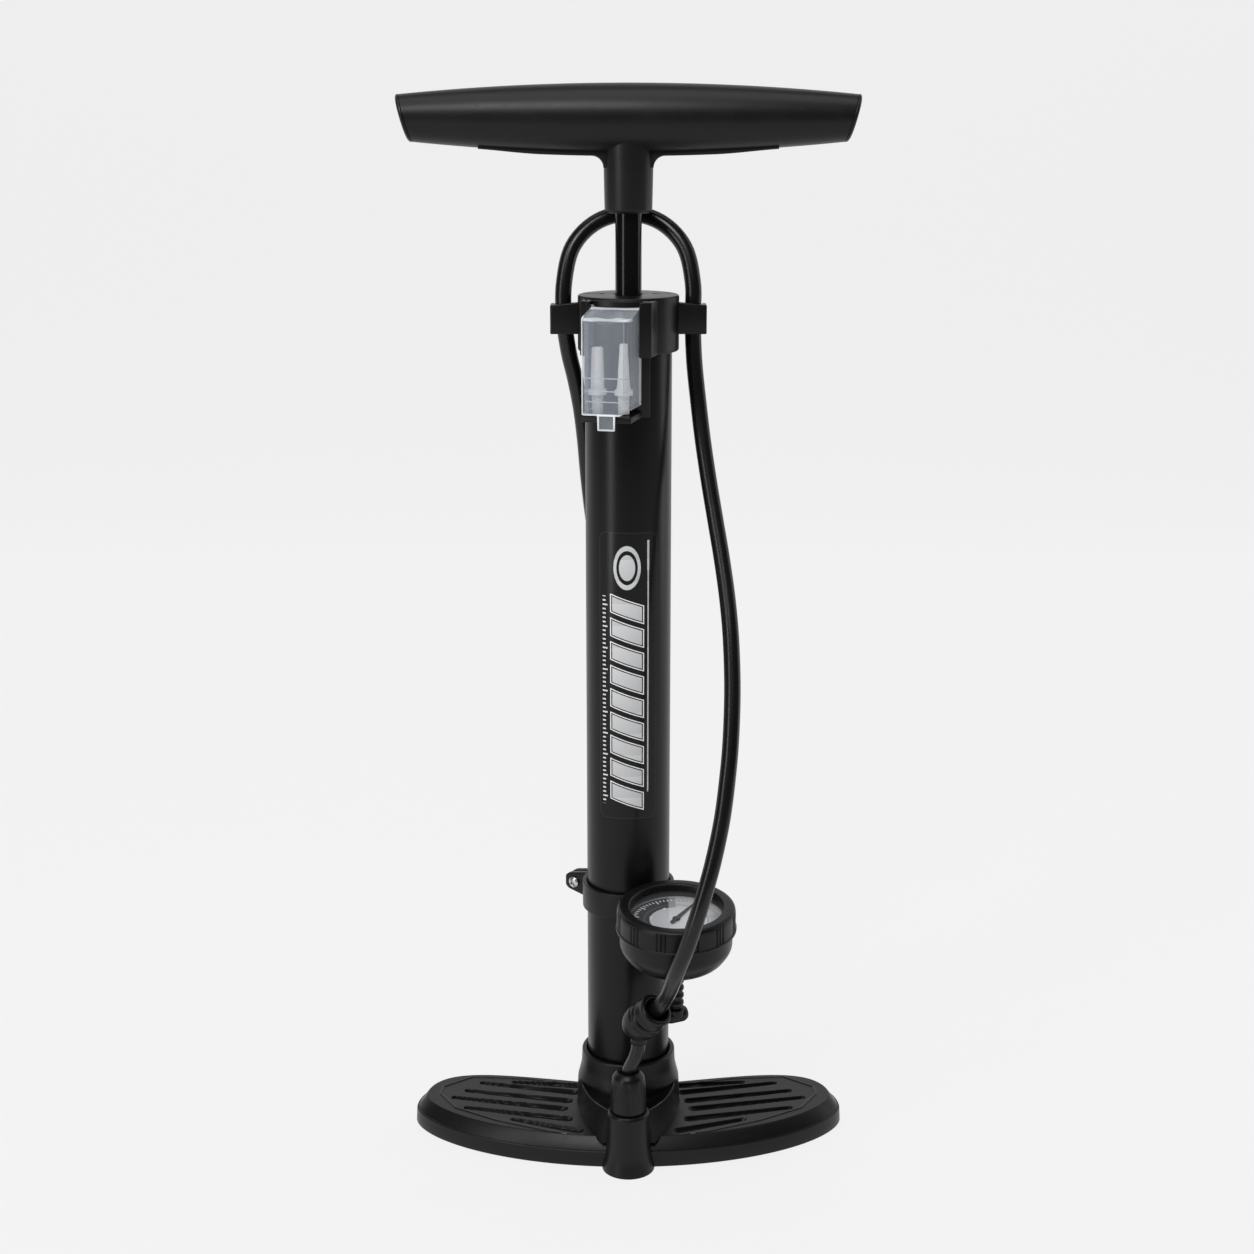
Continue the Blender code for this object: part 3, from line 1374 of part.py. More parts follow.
def hose_parts(lever):
    tube("air_hose", smooth_path(hose_route(), 0.0105), HOSE_R, rubber_black("hose_rubber"), 2)
    neck_top = CHUCK.z + CHUCK_NECK_TOP
    ferrule = ring(HOSE_R + 0.0005, HOSE_R + 0.0015, neck_top + GAP, neck_top + 0.0110, SMALL)
    piece("hose_ferrule", ferrule, zinc("ferrule_steel"), location=(CHUCK.x, CHUCK.y, 0))
    barrel_shape = [
        (CHUCK_BACK, 0),
        (CHUCK_BACK, CHUCK_R),
        (CHUCK_FRONT, CHUCK_R),
        (CHUCK_FRONT, 0),
    ]
    body = piece(
        "chuck_body",
        along_x(barrel_shape, SMALL),
        moulded_black("chuck_plastic"),
        location=CHUCK,
    )
    neck = rod(CHUCK_NECK_R, 0, CHUCK_NECK_TOP, SMALL)
    half = LEVER_WIDTH / 2 + GAP
    ears = [
        piece(
            f"add_chuck_ear_{side}",
            box(
                (LEVER_X - 0.0028, min(side * half, side * (half + 0.0022)), -0.0032),
                (CHUCK_BACK + 0.001, max(side * half, side * (half + 0.0022)), 0.0032),
            ),
            location=CHUCK,
        )
        for side in (-1, 1)
    ]
    join(body, piece("add_neck", neck, location=CHUCK), *ears)
    rubber_r = CHUCK_R - 0.0012
    seal_back = -0.0020
    mouth = CHUCK_FRONT + CUTTER_REACH
    bore = along_x([(seal_back, 0), (seal_back, rubber_r), (mouth, rubber_r), (mouth, 0)], SMALL)
    pin_hole = rod(LEVER_PIN_R + GAP, -0.01, 0.01, 12)
    hose_way = rod(0.0015, 0, CHUCK_NECK_TOP + CUTTER_REACH, 12)
    pin_way = turn_to((0, 1, 0))
    pin_at = CHUCK + Vector((LEVER_X, 0, 0))
    cut(
        body,
        piece("cut_chuck_bore", bore, location=CHUCK),
        piece("cut_chuck_pin", pin_hole, location=pin_at, rotation=pin_way),
        piece("cut_chuck_way", hose_way, location=CHUCK),
    )
    rubber = ring(MOUTH_R - 0.0004, rubber_r - GAP, seal_back + GAP, CHUCK_FRONT, SMALL)
    way = turn_to((1, 0, 0))
    piece("chuck_rubber", rubber, rubber_black("chuck_seal_rubber"), location=CHUCK, rotation=way)
    low = CHUCK_FRONT + GAP
    outer = CHUCK_R + 0.0002
    nut = turned(
        [
            (MOUTH_R, low),
            (outer, low),
            (outer, low + CHUCK_CAP - 0.001),
            (CHUCK_R - 0.001, low + CHUCK_CAP),
            (MOUTH_R, low + CHUCK_CAP),
        ],
        SMALL,
        closed=True,
    )
    piece("chuck_cap", nut, moulded_black("chuck_cap_plastic"), location=CHUCK, rotation=way)
    reach = half + 0.0022
    pin = rod(LEVER_PIN_R, -reach, reach, 12)
    piece("chuck_lever_pin", pin, zinc("lever_pin_steel"), location=pin_at, rotation=pin_way)
    hub = arc(LEVER_R, 0, pi, 9)
    outline = [
        *hub,
        (-LEVER_R, -LEVER_LENGTH + 0.002),
        (-LEVER_R + 0.001, -LEVER_LENGTH),
        (-LEVER_R + 0.0024, -LEVER_LENGTH),
        (-LEVER_R + 0.0032, -LEVER_R * 1.6),
        (LEVER_R * 0.7, -LEVER_R * 0.7),
    ]
    blade = piece(
        "chuck_lever",
        prism(outline, -LEVER_WIDTH / 2, LEVER_WIDTH / 2, "Y"),
        moulded_black("lever_plastic"),
        lever,
    )
    hole = rod(LEVER_PIN_R + RUN, -0.01, 0.01, 12)
    cut(blade, piece("cut_lever_pin", hole, parent=lever, rotation=pin_way))


def main():
    clear_scene()
    slide = frame_at("plunger_axis", (0, 0, 0))
    turn = frame_at("handle_axis", (0, 0, 0))
    turn.parent = slide
    face = frame_at("gauge_axis", (GAUGE_X, GAUGE_Y, GAUGE_Z), (GAUGE_LEAN, 0, 0))
    needle = frame_at("needle_axis", (0, 0, 0), (0, 0, NEEDLE_REST))
    needle.parent = face
    side = frame_at("accessory_side", (0, 0, 0), (0, 0, BOX_TURN))
    pivot = frame_at("cover_axis", (0, PIVOT_Y, PIVOT_Z))
    pivot.parent = side
    lever = frame_at("lever_axis", CHUCK + Vector((LEVER_X, 0, 0)))
    bpy.context.view_layer.update()
    foot_base()
    outlet_parts()
    barrel_parts()
    top_cap()
    piston_parts(slide, turn)
    handle_parts(turn)
    gauge_case(face)
    gauge_parts(face, needle)
    clamp_fasteners()
    tee_parts(face)
    accessory_bracket(side)
    accessory_cover(pivot)
    adapters(side)
    hose_parts(lever)


main()
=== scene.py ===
from math import atan2, cos, degrees, pi, radians, sin, sqrt

import bmesh
import bpy
import numpy as np
from mathutils import Matrix, Vector


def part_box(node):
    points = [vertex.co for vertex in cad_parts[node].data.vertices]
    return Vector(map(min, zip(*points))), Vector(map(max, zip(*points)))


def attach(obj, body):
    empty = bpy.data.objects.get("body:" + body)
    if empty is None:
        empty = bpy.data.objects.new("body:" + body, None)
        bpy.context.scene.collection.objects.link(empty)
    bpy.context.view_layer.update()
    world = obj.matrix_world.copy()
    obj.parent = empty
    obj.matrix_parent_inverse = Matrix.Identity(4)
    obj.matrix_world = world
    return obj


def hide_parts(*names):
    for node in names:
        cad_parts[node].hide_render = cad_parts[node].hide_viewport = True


# %% [markdown]
# # A floor pump, piece by piece
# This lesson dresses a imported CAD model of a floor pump: a T handle on a long rod, a black steel
# barrel, a winged base to stand on, a dial gauge and a hose. The CAD model comes in first, as a
# fixed frame. Everything made later sits on it and rides on one of its bodies, so that the
# handle, the cover, the needle and the chuck's lever still move.

# %% Load the frame
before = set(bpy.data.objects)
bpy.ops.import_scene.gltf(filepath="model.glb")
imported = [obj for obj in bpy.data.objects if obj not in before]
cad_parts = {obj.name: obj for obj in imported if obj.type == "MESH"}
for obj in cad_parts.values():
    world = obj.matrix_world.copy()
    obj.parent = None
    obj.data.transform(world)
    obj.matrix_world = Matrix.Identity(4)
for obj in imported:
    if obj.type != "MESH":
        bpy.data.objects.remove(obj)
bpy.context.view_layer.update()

# %% [markdown]
# ## The camera
# The pump is seen from in front and a little above. A long lens keeps the barrel's sides nearly
# parallel. The frame is square, so the field of view is the same both ways.

# %% Place the camera
LENS_MM = 58.79
CAMERA_AT = (-0.0007, -0.995, 0.528)
CAMERA_DOWN = radians(14.43)

camera_data = bpy.data.cameras.new("camera")
camera_data.lens = LENS_MM
camera_data.sensor_width = 36.0
camera = bpy.data.objects.new("camera", camera_data)
camera.location = CAMERA_AT
camera.rotation_euler = (pi / 2 - CAMERA_DOWN, 0, 0)
bpy.context.scene.collection.objects.link(camera)
bpy.context.scene.camera = camera
bpy.context.scene.view_settings.view_transform = "Standard"
print("camera looks down by", round(degrees(CAMERA_DOWN), 1), "degrees")

# %% [markdown]
# ## Shader maths
# A material is a small network of nodes. Wiring it by hand takes many lines, so this class wraps
# one output socket and gives it Python's operators: `a * 2 + b` adds the two Math nodes. Any
# other node comes from `Shader.node`, which takes its type, its settings and its inputs.


# %% A socket with operators
class Value:
    """One output socket of a shader. Each operator adds the Math node that works it out."""

    def __init__(self, shader, socket):
        self.shader = shader
        self.socket = socket

    def math(self, operation, *others):
        return self.shader.node("Math", {"operation": operation}, self, *others)

    def __add__(self, other):
        return self.math("ADD", other)

    def __sub__(self, other):
        return self.math("SUBTRACT", other)

    def __mul__(self, other):
        return self.math("MULTIPLY", other)

    def __truediv__(self, other):
        return self.math("DIVIDE", other)

    def __pow__(self, other):
        return self.math("POWER", other)

    def __rsub__(self, other):
        return self.shader.node("Math", {"operation": "SUBTRACT"}, other, self)

    def __rtruediv__(self, other):
        return self.shader.node("Math", {"operation": "DIVIDE"}, other, self)

    __radd__ = __add__
    __rmul__ = __mul__

    def __abs__(self):
        return self.math("ABSOLUTE")

    def min(self, other):
        return self.math("MINIMUM", other)

    def max(self, other):
        return self.math("MAXIMUM", other)

    def under(self, limit, soft):
        """1 where the value is below the limit, 0 above it, with an edge as wide as soft."""
        return ((limit - self) / soft + 0.5).max(0.0).min(1.0)

    def between(self, low, high, soft):
        """1 between the two limits, 0 outside them."""
        return self.under(high, soft) * (1.0 - self.under(low, soft))


class Shader:
    """A node material whose Principled shader is at .surface."""

    def __init__(self, name, colour, roughness, metallic=0.0, **more):
        self.material = bpy.data.materials.new(name)
        self.material.use_nodes = True
        self.nodes = self.material.node_tree.nodes
        self.links = self.material.node_tree.links
        self.surface = self.nodes["Principled BSDF"]
        self.set("Base Color", (*colour, 1.0))
        self.set("Roughness", roughness)
        self.set("Metallic", metallic)
        for socket, value in more.items():
            self.set(socket.replace("_", " "), value)

    def node(self, kind, settings=None, *inputs, out=0, **named):
        """A new node: its settings come first, then the values or links of its sockets."""
        made = self.nodes.new("ShaderNode" + kind)
        for key, value in (settings or {}).items():
            setattr(made, key, value)
        for key, value in [*enumerate(inputs), *named.items()]:
            self.give(made.inputs[key.replace("_", " ") if isinstance(key, str) else key], value)
        return Value(self, made.outputs[out])

    def give(self, socket, value):
        if isinstance(value, Value):
            self.links.new(value.socket, socket)
        else:
            socket.default_value = value

    def set(self, socket, value):
        self.give(self.surface.inputs[socket], value)

    def place(self):
        """The point in the object's own space, in metres."""
        return self.node("TexCoord", out=3)

    def parts(self, vector):
        """The three numbers of a vector, each as a value."""
        made = self.nodes.new("ShaderNodeSeparateXYZ")
        self.links.new(vector.socket, made.inputs[0])
        return [Value(self, made.outputs[i]) for i in range(3)]

    def noise(self, size, detail=3.0, rough=0.5):
        """Noise from 0 to 1 whose spots are about as large as size, in metres."""
        return self.node(
            "TexNoise", None, Vector=self.place(), Scale=1.0 / size, Detail=detail, Roughness=rough
        )

    def mix(self, share, first, second):
        """A colour between two colours."""
        made = self.nodes.new("ShaderNodeMix")
        made.data_type = "RGBA"
        for index, value in ((0, share), (6, first), (7, second)):
            if isinstance(value, tuple):
                value = (*value[:3], 1.0)
            self.give(made.inputs[index], value)
        return Value(self, made.outputs[2])

    def bump(self, height, depth, under=None):
        """A surface that goes up and down by depth metres as height goes from 0 to 1."""
        more = {"Normal": under} if under is not None else {}
        return self.node("Bump", None, Strength=1.0, Distance=depth, Height=height, **more)


print("shader maths ready")

# %% [markdown]
# ## Finishes
# Nearly everything here is black, so the finishes differ in how they shine. Moulded plastic has a
# fine grain that scatters light, painted tube is smoother, and rubber is softest. Each recipe
# adds slow changes of roughness, as a handled surface has, and a fine bump.


# %% Recipes for the finishes
def moulded(name, tone=0.012, rough=0.40, grain=0.00035, depth=0.000012):
    """Black moulded plastic: fine spark-eroded grain, with patches that handling has polished."""
    s = Shader(name, (tone, tone, tone * 1.02), rough, Specular_IOR_Level=0.24)
    fine = s.noise(grain, 2.0)
    broad = s.noise(0.02, 4.0)
    scuff = s.noise(0.0035, 5.0, 0.7).between(0.60, 0.75, 0.05)
    s.set("Roughness", rough - 0.06 + broad * 0.12 + scuff * 0.06)
    s.set("Base Color", s.mix(broad, (tone * 0.8,) * 3, (tone * 1.3,) * 3))
    s.set("Normal", s.bump(fine, depth))
    return s


def rubber(name, tone=0.010, rough=0.38):
    """Extruded or moulded rubber: soft sheen and a slightly uneven skin."""
    s = Shader(name, (tone,) * 3, rough, Specular_IOR_Level=0.34)
    skin = s.noise(0.0012, 4.0)
    broad = s.noise(0.03, 3.0)
    s.set("Roughness", rough - 0.05 + broad * 0.12 + skin * 0.04)
    s.set("Base Color", s.mix(broad, (tone * 0.8,) * 3, (tone * 1.4,) * 3))
    s.set("Normal", s.bump(skin, 0.000008))
    return s


def plated(name, colour=(0.62, 0.62, 0.60), rough=0.26):
    """Bright metal: plate or machined brass, with fine scratches and a little tarnish."""
    s = Shader(name, colour, rough, 1.0)
    fine = s.noise(0.0003, 3.0)
    stain = s.noise(0.004, 4.0)
    s.set("Roughness", rough - 0.05 + fine * 0.10 + stain * 0.10)
    dull, bright = (tuple(min(1, c * k) for c in colour) for k in (0.72, 1.15))
    s.set("Base Color", s.mix(stain, dull, bright))
    s.set("Normal", s.bump(fine, 0.000006))
    return s


def milky(name, colour=(0.90, 0.91, 0.90)):
    """Natural nylon: whitish, with light that goes a little way in."""
    s = Shader(name, colour, 0.38, Subsurface_Weight=0.25, Subsurface_Scale=0.002)
    flow = s.noise(0.003, 3.0)
    s.set("Base Color", s.mix(flow, tuple(c * 0.92 for c in colour), colour))
    s.set("Roughness", 0.32 + flow * 0.12)
    s.set("Normal", s.bump(s.noise(0.0005, 2.0), 0.00001))
    return s


def painted(name, tone, rough):
    """Stoved paint on tube: an even coat with the faintest ripple and a few fine dust specks."""
    s = Shader(name, (tone,) * 3, rough, Specular_IOR_Level=0.22)
    ripple = s.noise(0.0022, 2.0)
    broad = s.noise(0.05, 3.0)
    speck = s.noise(0.0006, 1.0).between(0.78, 1.0, 0.02)
    s.set("Base Color", s.mix(speck * 0.25, (tone,) * 3, (tone * 3,) * 3))
    s.set("Roughness", rough - 0.03 + broad * 0.07 + speck * 0.1)
    s.set("Normal", s.bump(ripple, 0.000012))
    return s


BRASS = (0.62, 0.45, 0.18)
body_plastic = moulded("body_plastic", 0.0045, 0.36)
grip_plastic = moulded("grip_plastic", 0.0055, 0.38, 0.00045, 0.00002)
base_plastic = moulded("base_plastic", 0.0050, 0.36, 0.0004, 0.000018)
seal_rubber = rubber("seal_rubber", 0.007, 0.5)
zinc_plate = plated("zinc_plate")
turned_brass = plated("turned_brass", BRASS, 0.28)
white_nylon = milky("white_nylon")
rod_paint = painted("rod_paint", 0.004, 0.16)
print("finishes:", len(bpy.data.materials))

# %% [markdown]
# ## Surfaces from arrays
# Each new piece is a grid of points worked out with numpy and joined by four-sided faces. Two
# kinds cover most of a pump: a profile turned about an axis, and a stack of closed outlines. The
# corners of a profile are rounded first, because real mouldings have no razor edges and the
# thin highlight along a rounded edge is what makes black plastic readable.


# %% Grids, corners and placing
def rounded(profile, radius=0.0005, steps=5, closed=False):
    """Each corner becomes a curve: the point (1-t)^2 a + 2t(1-t) corner + t^2 b, for t from 0 to 1.

    a and b lie on the two sides, radius away from the corner, or less on a short side. A row may
    give its own radius as a third number.
    """
    rows = np.array([row if len(row) == 3 else (*row, radius) for row in profile], float)
    p, reach = rows[:, :2], rows[:, 2:]
    back, ahead = np.roll(p, 1, 0) - p, np.roll(p, -1, 0) - p
    back_length = np.linalg.norm(back, axis=1, keepdims=True) + 1e-12
    ahead_length = np.linalg.norm(ahead, axis=1, keepdims=True) + 1e-12
    reach = np.minimum(reach, 0.45 * np.minimum(back_length, ahead_length))
    if not closed:
        reach[[0, -1]] = 0
    a, b = p + back / back_length * reach, p + ahead / ahead_length * reach
    t = np.linspace(0, 1, steps)[None, :, None]
    return ((1 - t) ** 2 * a[:, None] + 2 * t * (1 - t) * p[:, None] + t**2 * b[:, None]).reshape(-1, 2)


def turned(profile, steps=96, flute=None):
    """A profile of (r, z) turned about Z: the point is (r cos t, r sin t, z) for t round the circle.

    flute(t, r, z) adds to the radius, as on a grip or a knurl.
    """
    t = np.arange(steps) * (2 * pi / steps)
    r = np.repeat(np.asarray(profile)[:, :1], steps, 1)
    z = np.repeat(np.asarray(profile)[:, 1:2], steps, 1)
    t = np.repeat(t[None, :], len(r), 0)
    if flute is not None:
        r = r + flute(t, r, z)
    return np.stack([r * np.cos(t), r * np.sin(t), z], -1)


def placed(points, at=(0, 0, 0), axes=None):
    """Points moved to a place, after a turn whose columns are the new X, Y and Z."""
    turned_points = points if axes is None else points @ np.asarray(axes, float).T
    return turned_points + np.asarray(at, float)


def axes_to(direction):
    """A turn that takes Z to a direction."""
    return np.array(Vector((0, 0, 1)).rotation_difference(Vector(direction)).to_matrix())


def skin(points, wrap=True, caps=True):
    """Four-sided faces over a grid of points, with a flat face at each open end."""
    rows, cols = points.shape[:2]
    i = np.arange(rows - 1)[:, None] * cols
    j = np.arange(cols if wrap else cols - 1)[None, :]
    k = (j + 1) % cols
    quads = np.stack([i + j, i + k, i + cols + k, i + cols + j], -1).reshape(-1, 4).tolist()
    if caps:
        quads += [list(range(cols))[::-1], list(range((rows - 1) * cols, rows * cols))]
    return points.reshape(-1, 3), quads


def joined(*skins):
    """Several skins as one mesh."""
    points, faces, base = [], [], 0
    for some_points, some_faces in skins:
        points.append(some_points)
        faces += [[v + base for v in face] for face in some_faces]
        base += len(some_points)
    return np.concatenate(points), faces


def add(name, shape, finish, body, nodes=(), sharp=38.0):
    """A piece of the pump: its mesh, finish, body, and the CAD nodes that it stands for."""
    points, faces = shape
    mesh = bpy.data.meshes.new(name)
    mesh.from_pydata(points.tolist(), [], faces)
    bm = bmesh.new()
    bm.from_mesh(mesh)
    bmesh.ops.remove_doubles(bm, verts=bm.verts, dist=2e-7)
    bmesh.ops.recalc_face_normals(bm, faces=bm.faces)
    bm.to_mesh(mesh)
    bm.free()
    mesh.shade_smooth()
    mesh.set_sharp_from_angle(angle=radians(sharp))
    mesh.materials.append(finish.material)
    piece = bpy.data.objects.new(name, mesh)
    bpy.context.scene.collection.objects.link(piece)
    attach(piece, body)
    if nodes:
        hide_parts(*nodes)
    print(f"{name}: {len(mesh.polygons)} faces")
    return piece


def outline_stack(outline, levels, place="XZ"):
    """Copies of one closed outline, each moved inwards along its normals, one for each level.

    A level is (distance inwards, height). The outline is in the plane that place names, and the
    height runs along the third axis.
    """
    p = np.asarray(outline, float)
    along = np.roll(p, -1, 0) - np.roll(p, 1, 0)
    along /= np.linalg.norm(along, axis=1, keepdims=True) + 1e-12
    inward = np.stack([-along[:, 1], along[:, 0]], 1)
    area = np.sum(p[:, 0] * np.roll(p[:, 1], -1) - np.roll(p[:, 0], -1) * p[:, 1])
    inward *= 1.0 if area > 0 else -1.0
    levels = np.asarray(levels, float)
    flat = p[None] + inward[None] * levels[:, None, :1]
    height = np.repeat(levels[:, None, 1:2], len(p), 1)
    a, b = flat[..., :1], flat[..., 1:2]
    order = {"XZ": (a, height, b), "XY": (a, b, height), "YZ": (height, a, b)}[place]
    return np.concatenate(order, -1)


def pillow_levels(low, high, radius, steps=4):
    """Levels for a slab with rounded edges: quarter circles at both faces."""
    t = np.linspace(0, pi / 2, steps)
    first = np.stack([radius * (1 - np.sin(t)), low + radius * (1 - np.cos(t))], 1)
    last = np.stack([radius * (1 - np.cos(t)), high - radius * (1 - np.sin(t))], 1)
    return np.concatenate([first, last])


print("surface helpers ready")

# %% [markdown]
# ## The hose
# The hose is an 8 mm rubber tube. It leaves the tee's nut, bulges past the gauge, rises over the
# two hooks of the top cap and comes down behind the barrel to its chuck. A hose has no corners,
# so its route is a smooth curve through a few chosen points, and its round section is carried
# along that curve.


# %% Curves and tubes
def smooth_path(route, spacing):
    """A Catmull-Rom curve through the route's points, cut into equal steps of about spacing.

    Between b and c, with neighbours a and d, the point is
    (2b + (c-a)t + (2a-5b+4c-d)t^2 + (3b-a-3c+d)t^3) / 2.
    """
    p = np.asarray(route, float)
    p = np.concatenate([2 * p[:1] - p[1:2], p, 2 * p[-1:] - p[-2:-1]])
    a, b, c, d = (p[i : len(p) - 3 + i, None] for i in range(4))
    t = np.linspace(0, 1, 16, endpoint=False)[None, :, None]
    cubic = (3 * b - a - 3 * c + d) * t**3
    dense = (2 * b + (c - a) * t + (2 * a - 5 * b + 4 * c - d) * t**2 + cubic) / 2
    dense = np.concatenate([dense.reshape(-1, 3), p[-2:-1]])
    along = np.concatenate([[0], np.cumsum(np.linalg.norm(np.diff(dense, axis=0), axis=1))])
    even = np.linspace(0, along[-1], max(2, round(along[-1] / spacing)) + 1)
    return np.stack([np.interp(even, along, dense[:, i]) for i in range(3)], 1)


def swept(path, radius, sides=20, guide=(0.3, 1.0, 0.1)):
    """A round section carried along a path: point = path + radius (u cos t + v sin t).

    u and v are at right angles to the path. radius is one number, or one for each path point.
    """
    path = np.asarray(path, float)
    tangent = np.gradient(path, axis=0)
    tangent /= np.linalg.norm(tangent, axis=1, keepdims=True)
    u = np.cross(tangent, guide)
    u /= np.linalg.norm(u, axis=1, keepdims=True)
    v = np.cross(tangent, u)
    t = np.arange(sides)[None, :, None] * (2 * pi / sides)
    size = np.broadcast_to(radius, len(path))[:, None, None]
    return path[:, None] + size * (u[:, None] * np.cos(t) + v[:, None] * np.sin(t))


HOSE_R = 0.004
HOSE_ROUTE = (
    (0.0100, -0.0549, 0.0858),
    (0.0142, -0.0590, 0.0915),
    (0.0180, -0.0652, 0.1000),
    (0.0206, -0.0738, 0.1100),
    (0.0232, -0.0818, 0.1215),
    (0.0274, -0.0862, 0.1345),
    (0.0324, -0.0870, 0.1510),
    (0.0368, -0.0848, 0.1655),
    (0.0406, -0.0808, 0.1790),
    (0.0445, -0.0750, 0.1965),
    (0.0471, -0.0687, 0.2145),
    (0.0489, -0.0615, 0.2322),
    (0.0498, -0.0525, 0.2545),
    (0.0493, -0.0430, 0.2766),
    (0.0478, -0.0345, 0.2944),
    (0.0453, -0.0260, 0.3124),
    (0.0422, -0.0180, 0.3305),
    (0.0391, -0.0108, 0.3487),
    (0.0363, -0.0045, 0.3673),
    (0.0340, 0.0005, 0.3862),
    (0.0320, 0.0032, 0.4055),
    (0.0312, 0.0043, 0.4250),
    (0.0312, 0.0060, 0.4420),
    (0.0270, 0.0108, 0.4592),
    (0.0157, 0.0162, 0.4706),
    (0.0000, 0.0192, 0.4746),
    (-0.0157, 0.0162, 0.4706),
    (-0.0270, 0.0108, 0.4592),
    (-0.0312, 0.0060, 0.4420),
    (-0.0312, 0.0045, 0.4250),
    (-0.0292, 0.0075, 0.4090),
    (-0.0262, 0.0118, 0.3950),
    (-0.0236, 0.0162, 0.3800),
    (-0.0218, 0.0205, 0.3634),
    (-0.0202, 0.0243, 0.3430),
    (-0.0178, 0.0275, 0.3210),
    (-0.0142, 0.0302, 0.2980),
    (-0.0092, 0.0324, 0.2760),
    (-0.0042, 0.0334, 0.2560),
    (-0.0008, 0.0335, 0.2400),
    (0.0000, 0.0335, 0.2310),
    (0.0000, 0.0335, 0.2240),
)
hose_rubber = rubber("hose_rubber", 0.0045, 0.24)
hose_path = smooth_path(HOSE_ROUTE, 0.0025)
hose = add("air_hose_tube", skin(swept(hose_path, HOSE_R, 24)), hose_rubber, "frame", ["air_hose"])

# %% [markdown]
# ## The stage
# A pale floor runs up into a pale wall with no corner, so that nothing shows behind the pump. The
# sheet glows by itself, so it stays pale while the lamps stay weak enough for a black pump. Two
# tall soft boxes stand at its sides and draw the long highlights down both edges of the barrel.
# One wide box above lights the grip, and a small one above the camera lights the front.


# %% Floor, wall and lights
def stage_sheet():
    """A strip carried along a path that is flat, then a quarter circle, then upright."""
    bend, back, front, high, half = 0.8, 2.2, -2.5, 3.0, 4.0
    t = np.linspace(0, pi / 2, 24)
    y = np.concatenate([[front], back - bend + bend * np.sin(t), [back]])
    z = np.concatenate([[0], bend * (1 - np.cos(t)), [high]])
    x = np.array([-half, half])
    grid = np.stack(
        [np.repeat(x[None], len(y), 0), np.repeat(y[:, None], 2, 1), np.repeat(z[:, None], 2, 1)], -1
    )
    return skin(grid, wrap=False, caps=False)


FLOOR_TONE = 0.06
FLOOR_GLOW = 0.82
points, faces = stage_sheet()
stage_mesh = bpy.data.meshes.new("studio_sheet")
stage_mesh.from_pydata(points.tolist(), [], faces)
stage_mesh.shade_smooth()
paper = Shader("paper", (FLOOR_TONE,) * 3, 0.9)
paper.set("Base Color", paper.mix(paper.noise(0.3, 2.0), (FLOOR_TONE,) * 3, (FLOOR_TONE * 1.02,) * 3))
paper.set("Emission Color", (1.0, 1.0, 1.0, 1.0))
paper.set("Emission Strength", FLOOR_GLOW)
stage_mesh.materials.append(paper.material)
studio_sheet = bpy.data.objects.new("studio_sheet", stage_mesh)
bpy.context.scene.collection.objects.link(studio_sheet)


def soft_box(name, at, aim, size, power):
    """A rectangular lamp whose -Z looks from its place to the point it is aimed at."""
    data = bpy.data.lights.new(name, "AREA")
    data.shape = "RECTANGLE"
    data.size, data.size_y = size
    data.energy = power
    lamp = bpy.data.objects.new(name, data)
    lamp.location = at
    lamp.rotation_euler = (Vector(at) - Vector(aim)).to_track_quat("Z", "Y").to_euler()
    bpy.context.scene.collection.objects.link(lamp)
    return lamp


soft_box("box_left", (-0.90, -0.82, 0.7), (0, 0, 0.28), (0.26, 1.5), 6.5)
soft_box("box_right", (1.15, 0.28, 0.7), (0, 0, 0.28), (0.35, 1.5), 2.5)
soft_box("box_top", (0.0, -0.1, 1.9), (0, 0.1, 0.2), (1.6, 1.0), 10)
soft_box("box_front", (-0.25, -1.0, 1.5), (0, 0, 0.25), (0.6, 0.5), 11)
world = bpy.data.worlds.new("studio_air")
bpy.context.scene.world = world
world.use_nodes = True
world.node_tree.nodes["Background"].inputs["Color"].default_value = (1, 1, 1, 1)
world.node_tree.nodes["Background"].inputs["Strength"].default_value = 0.06
print("stage ready")

# %% [markdown]
# ## The barrel
# The barrel is welded steel tube with a stoved black finish. Its front carries a printed panel.
# Here the print is a plain pattern of slanted bars, a ring and a row of tick marks. It is worked
# out in the material from two numbers: how far round the barrel a point is, and its height.

# %% Barrel tube and its printed panel
BARREL_R = 0.0212
BARREL_BORE = 0.0198
PANEL = ((-0.0155, 0.0150), (0.1777, 0.3245))
BARS = ((-0.0082, 0.0068), (0.1835, 0.2920))
BAR_COUNT = 9
RING_AT = (-0.0007, 0.3070)
SILVER = (0.62, 0.63, 0.64)
PALE = (0.92, 0.92, 0.92)


